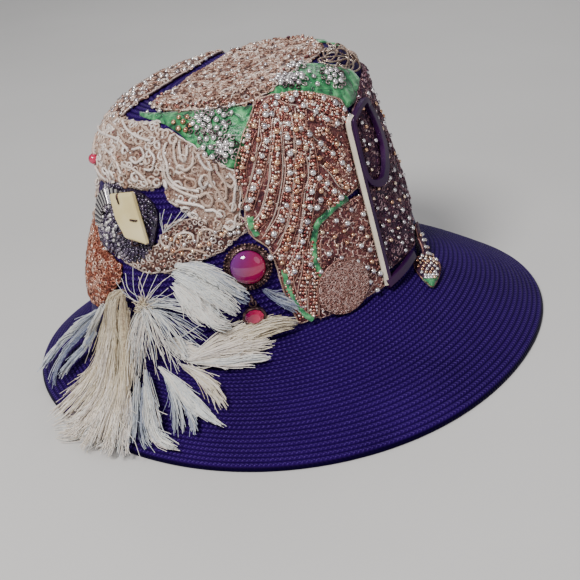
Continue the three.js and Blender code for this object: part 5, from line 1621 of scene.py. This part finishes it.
WHITE_LOCKS = [
    ([(-125.5, .34, 8, .6), (-124.5, .55, 8, 3), (-123, .77, 7, 4.8), (-121, .91, 6, 3.6),
     (-115.5, .94, 4, .6)], 150, .4, .42),
    ([(-128, .42, 8, .6), (-128, .66, 7, 3), (-128, .89, 6, 3.6), (-128, 1.08, 5, 2.4)], 90, .36, .24),
    ([(-126, .45, 6, 1.2), (-126, .69, 5, 3), (-125, .89, 4, 3), (-123, .98, 3, 1.8)], 60, .16, .2),
    ([(-122, .29, 8, .6), (-117, .44, 8, 3), (-112.5, .61, 7, 3.6), (-109, .69, 5, 1.8),
     (-105.5, .75, 4, .4)], 120, .42, .4),
    ([(-120, .34, 5, .6), (-117.5, .50, 5, 2.4), (-116.5, .67, 4, 3), (-116, .84, 3, 1.8)], 45, .22, .26),
    ([(-117, .44, 5, .6), (-114, .55, 4, 2.4), (-112.5, .70, 4, 2.4), (-111.5, .83, 3, 1.2)], 45, .16, .24),
    ([(-115.5, .22, 7, .6), (-111, .30, 6, 2.4), (-107, .43, 5, 3.6), (-104, .62, 4, 1.8)], 80, .66, .7),
    ([(-112, .22, 9, .9), (-107, .15, 10, 3), (-100.5, .05, 9, 4.8), (-92.5, -.044, 5, 4.8),
     (-84.5, -.052, 4, 3.6), (-77.5, -.024, 3, 1.2)], 200, .6, .84),
    ([(-113, .24, 9, .9), (-106.5, .19, 9, 3), (-100, .15, 8, 4.2), (-93.5, .11, 6, 4.2),
     (-86, .09, 4, 2.4)], 150, .55, .66),
    ([(-113, .23, 8, .6), (-107, .22, 7, 1.8), (-101, .23, 6, 2.4), (-94.5, .21, 5, 2.4),
     (-88.5, .21, 3, .6)], 90, .5, .48),
    ([(-120.5, .04, 12, 2.4), (-115, .11, 10, 4.8), (-110.5, .18, 9, 4.8),
      (-107.5, .22, 7, 3)], 90, .55, .55),
]
DOWNY_LOCKS = [
    ([(-114.5, -.276, 5, 1.8), (-107, -.268, 8, 3.6), (-101, -.232, 7, 3.6), (-95.5, -.180, 5, 3),
     (-92, -.144, 4, 1.8)], 140, .4, .32),
    ([(-115.5, -.260, 6, 2.4), (-109, -.236, 8, 4.8), (-103.5, -.200, 8, 5.4), (-98.5, -.156, 8, 4.8),
     (-95, -.112, 6, 2.4)], 190, .42, .44),
    ([(-115.5, -.236, 7, 2.4), (-110, -.200, 8, 4.8), (-106, -.152, 8, 4.8),
     (-101.5, -.104, 8, 3.6), (-97.5, -.080, 7, 1.8)], 160, .44, .46),
    ([(-114.5, -.212, 7, 1.8), (-111, -.176, 8, 3), (-108, -.132, 8, 3),
      (-104.5, -.100, 8, 1.8)], 80, .46, .5),
    ([(-114, -.280, 4, 1.8), (-110, -.276, 7, 3), (-105, -.264, 7, 3), (-101.5, -.240, 6, 1.8)], 80, .4, .42),
    ([(-99.5, -.196, 5, 1.8), (-96, -.172, 4, 2.4), (-93, -.144, 3, 1.8), (-91.5, -.128, 3, .6)], 30, .1, .2),
    ([(-87, -.164, 5, 1.2), (-83, -.120, 3, 3), (-79, -.084, 3, 3), (-75.5, -.040, 2, 1.2)], 40, .12, .2),
    ([(-85.5, -.136, 4, .6), (-81.5, -.108, 3, 1.8), (-77.5, -.092, 3, 2.4),
      (-74, -.064, 2, 1.2)], 26, .1, .16),
]
FAN_ENDS = [
    (-110.5, -.184, 8), (-106.5, -.148, 8), (-103, -.104, 8), (-104, 0, 9), (-107, .13, 9),
    (-111.5, .22, 9), (-116, .31, 9), (-120.5, .34, 9), (-124, .38, 9),
     (-127.5, .43, 9), (-130.5, .52, 8), (-134, .29, 9), (-137.5, 0, 10)]
QUILL_TIPS = [
    (-140, .233), (-134.5, .268), (-131.5, .285), (-127.5, .268), (-124, .278), (-122, .258),
    (-118.5, .247), (-117, .223), (-114.5, .205), (-137, .25), (-129.5, .255), (-120, .235), (-115.5, .26),
    (-142, .21),
]


def feather_spot(angle, out, lift):
    return brim_point(angle, out, lift) if out >= 0 else crown_point(angle, -out, lift)


def lock(stops, count, tint, tip):
    """Long silky strands in small clumps. Each runs along a part of the lock, at its own place across."""
    route = np.array([[*feather_spot(*stop[:3]), stop[3]] for stop in stops])
    route[:, :3] += rng.normal(0, 0.3, (len(route), 3))
    spine = smooth_stops(route, 1.5)
    lengths = np.concatenate([[0], np.cumsum(np.linalg.norm(np.diff(spine[:, :3], axis=0), axis=1))])
    lean = unit(np.gradient(spine[:, :3], axis=0))
    steps = np.linspace(0, 1, 7)
    first = 0.55 * rng.uniform(0, 1, count) ** 1.2
    last = np.minimum(first + rng.uniform(0.32, 0.62, count), rng.uniform(0.86, 1, count))
    share = first[:, None] + (last - first)[:, None] * steps
    at = share * lengths[-1]
    centre = np.stack([np.interp(at, lengths, spine[:, i]) for i in range(3)], -1)
    half = np.interp(at, lengths, spine[:, 3])
    along = unit(np.stack([np.interp(at, lengths, lean[:, i]) for i in range(3)], -1))
    hub = CROWN_FOOT + OUTLINE_MIDDLE
    outward = unit(np.stack([centre[..., 0] - hub[0], centre[..., 1] - hub[1], np.full(at.shape, 60.0)], -1))
    side = unit(np.cross(along, outward))
    face = np.cross(side, along)
    clumps = max(count // 7, 3)
    clump = rng.integers(0, clumps, count)
    place = rng.uniform(-1, 1, clumps)[clump][:, None]
    stray = rng.normal(0, 0.22, count)[:, None]
    swing = rng.normal(0, 0.34, clumps)[clump][:, None] + rng.normal(0, 0.1, count)[:, None]
    swing = swing + np.where(rng.uniform(0, 1, count) < 0.14, rng.normal(0, 0.9, count), 0)[:, None]
    across = place * (0.62 + 0.42 * steps) + stray * (1 - 0.6 * steps) + swing * steps**2
    rise = (1 - place**2) * 1.4 + rng.uniform(-0.8, 1.2, clumps)[clump][:, None]
    rise = rise + rng.normal(0, 0.25, count)[:, None]
    rise = rise + rng.normal(0.3, 0.9, clumps)[clump][:, None] * steps**2
    path = centre + side * (across * half)[..., None] + face * rise[..., None]
    widths = np.array([0.8, 1, 1, 0.9, 0.75, 0.5, 0.12]) * rng.uniform(0.65, 1.2, (count, 1))
    mottle = rng.normal(0, 0.07, clumps)[clump] + rng.normal(0, 0.03, count)
    shade = tint + (tip - tint) * share + mottle[:, None]
    lines = np.concatenate([path, widths[..., None], np.clip(shade, 0, 0.93)[..., None]], -1)
    return list(lines)


def tuft(name, locks, thickness, *nodes):
    strands = []
    for stops, count, tint, tip in locks:
        strands += lock(stops, int(count * thickness), tint, tip)
    strands = [np.column_stack([above_brim(line[:, :3]), line[:, 3:]]) for line in strands]
    corded(name, strands, 0.18, FEATHER, 3, 1.0, 400.0, stands_for=nodes)


tuft("feathers_tan", TAN_LOCKS, 1.8, "feather_tuft_lower")
tuft("feathers_white", WHITE_LOCKS, 1.35)
tuft("feathers_downy", DOWNY_LOCKS, 1.3, "feather_tuft_upper")


def strand(points, wide, fine, tint):
    line = smooth_stops(np.array(points), 2.0)
    return np.column_stack([line, np.linspace(wide, fine, len(line)), np.full(len(line), tint)])


def knot_strands():
    """Thin stripped quills out of the lower knot: some up over the crown, most down and out over the brim."""
    start = crown_point(*LOWER_KNOT, PATCH_GAP + 7)
    lines = []
    for angle, rise in QUILL_TIPS:
        mid = crown_point((angle + LOWER_KNOT[0]) / 2, (rise + LOWER_KNOT[1]) / 2, 9) + rng.normal(0, 1.8, 3)
        end = crown_point(angle, rise, 6 + rng.uniform(-1, 2))
        lines.append(strand([start + rng.normal(0, 0.8, 3), mid, end], 1.2, 0.5, rng.uniform(0.3, 0.7)))
    ends = smooth_stops(np.array([feather_spot(*stop) for stop in FAN_ENDS]), 0.5)
    for _ in range(180):
        share = rng.uniform(0, 1)
        end = ends[int(share * (len(ends) - 1))]
        end = start + (end - start) * rng.uniform(0.5, 1.12) + rng.normal(0, 1.0, 3)
        third, other = start + (end - start) * 0.33, start + (end - start) * 0.68
        bow = rng.normal(0, 1.3, 3) + [0, 0, 2.2]
        points = [start + rng.normal(0, 1.2, 3), third + bow, other + bow * 0.8 + rng.normal(0, 0.8, 3), end]
        shade = rng.uniform(0.2, 0.5) if share < 0.4 else rng.uniform(0.3, 0.72)
        line = strand(points, 1.15, 0.35, shade)
        lines.append(np.column_stack([above_brim(line[:, :3]), line[:, 3:]]))
    wisp = crown_point(-119.5, 0.375, 4)
    wisp_ends = (
        (-121, .43), (-119, .44), (-116, .425), (-112, .43), (-108, .44), (-117, .41), (-110, .42),
        (-105, .435),
    )
    for angle, rise in wisp_ends:
        tip = crown_point(angle, rise, 3)
        middle = (wisp + tip) / 2 + rng.normal(0, 0.9, 3)
        lines.append(strand([wisp, middle, tip], 1.0, 0.4, rng.uniform(0.3, 0.5)))
    corded("bare_quills", lines, 0.17, FEATHER, 3, 1.0, 400.0)
    fluff = []
    for _ in range(150):
        tip = start + unit(rng.normal(0, 1, 3) * [1, 0.6, 1]) * rng.uniform(2.5, 7.5)
        mid = (start + tip) / 2 + rng.normal(0, 1.0, 3)
        fluff.append(strand([start + rng.normal(0, 1.0, 3), mid, tip], 1.3, 0.4, rng.uniform(0.78, 1.0)))
    corded("knot_fluff", fluff, 0.27, FEATHER, 3, 1.0, 400.0)


knot_strands()


# Floor, light and camera
def soft_light(name, place, height, size, power, colour=(1, 1, 1)):
    lamp = bpy.data.lights.new(name, "AREA")
    lamp.shape, lamp.size, lamp.energy, lamp.color = "DISK", size, power, colour
    light = in_scene(name, lamp)
    light.location = place
    light.rotation_euler = (Vector((0, 0, height)) - Vector(place)).to_track_quat("-Z", "Y").to_euler()


FLOOR_REACH = 3000
floor_corners = [(x * FLOOR_REACH, y * FLOOR_REACH, 0) for x, y in ((-1, -1), (1, -1), (1, 1), (-1, 1))]
floor = new_piece("floor", floor_corners, [(0, 1, 2, 3)], FLOOR, flat=True)
soft_light("key", (-0.5, -0.85, 1.15), 0.06, 0.45, 25.0, (1.0, 0.98, 0.96))
soft_light("fill", (0.9, -0.7, 0.55), 0.06, 0.8, 1.6, (0.92, 0.9, 1.0))
soft_light("back", (0.1, 0.95, 1.0), 0.08, 0.8, 4.5)
world = bpy.data.worlds.new("studio")
world.use_nodes = True
world.node_tree.nodes["Background"].inputs["Color"].default_value = (0.86, 0.87, 0.9, 1)
world.node_tree.nodes["Background"].inputs["Strength"].default_value = 0.3
bpy.context.scene.world = world


def place_camera():
    lens = bpy.data.cameras.new("camera")
    lens.sensor_width = 36.0
    lens.lens = 80.57
    lens.clip_start = 0.01
    place, target = Vector((0.0005, -0.6760, 0.3416)), Vector((0.0014, 0.00476, 0.02698))
    ahead = (target - place).normalized()
    level = ahead.cross(Vector((0, 0, 1))).normalized()
    above = level.cross(ahead)
    roll = math.radians(7.79)
    right = level * math.cos(roll) - above * math.sin(roll)
    up = level * math.sin(roll) + above * math.cos(roll)
    turned = Matrix((right, up, -ahead)).transposed().to_4x4()
    camera = in_scene("camera", lens)
    camera.matrix_world = Matrix.Translation(place) @ turned
    bpy.context.scene.camera = camera


place_camera()
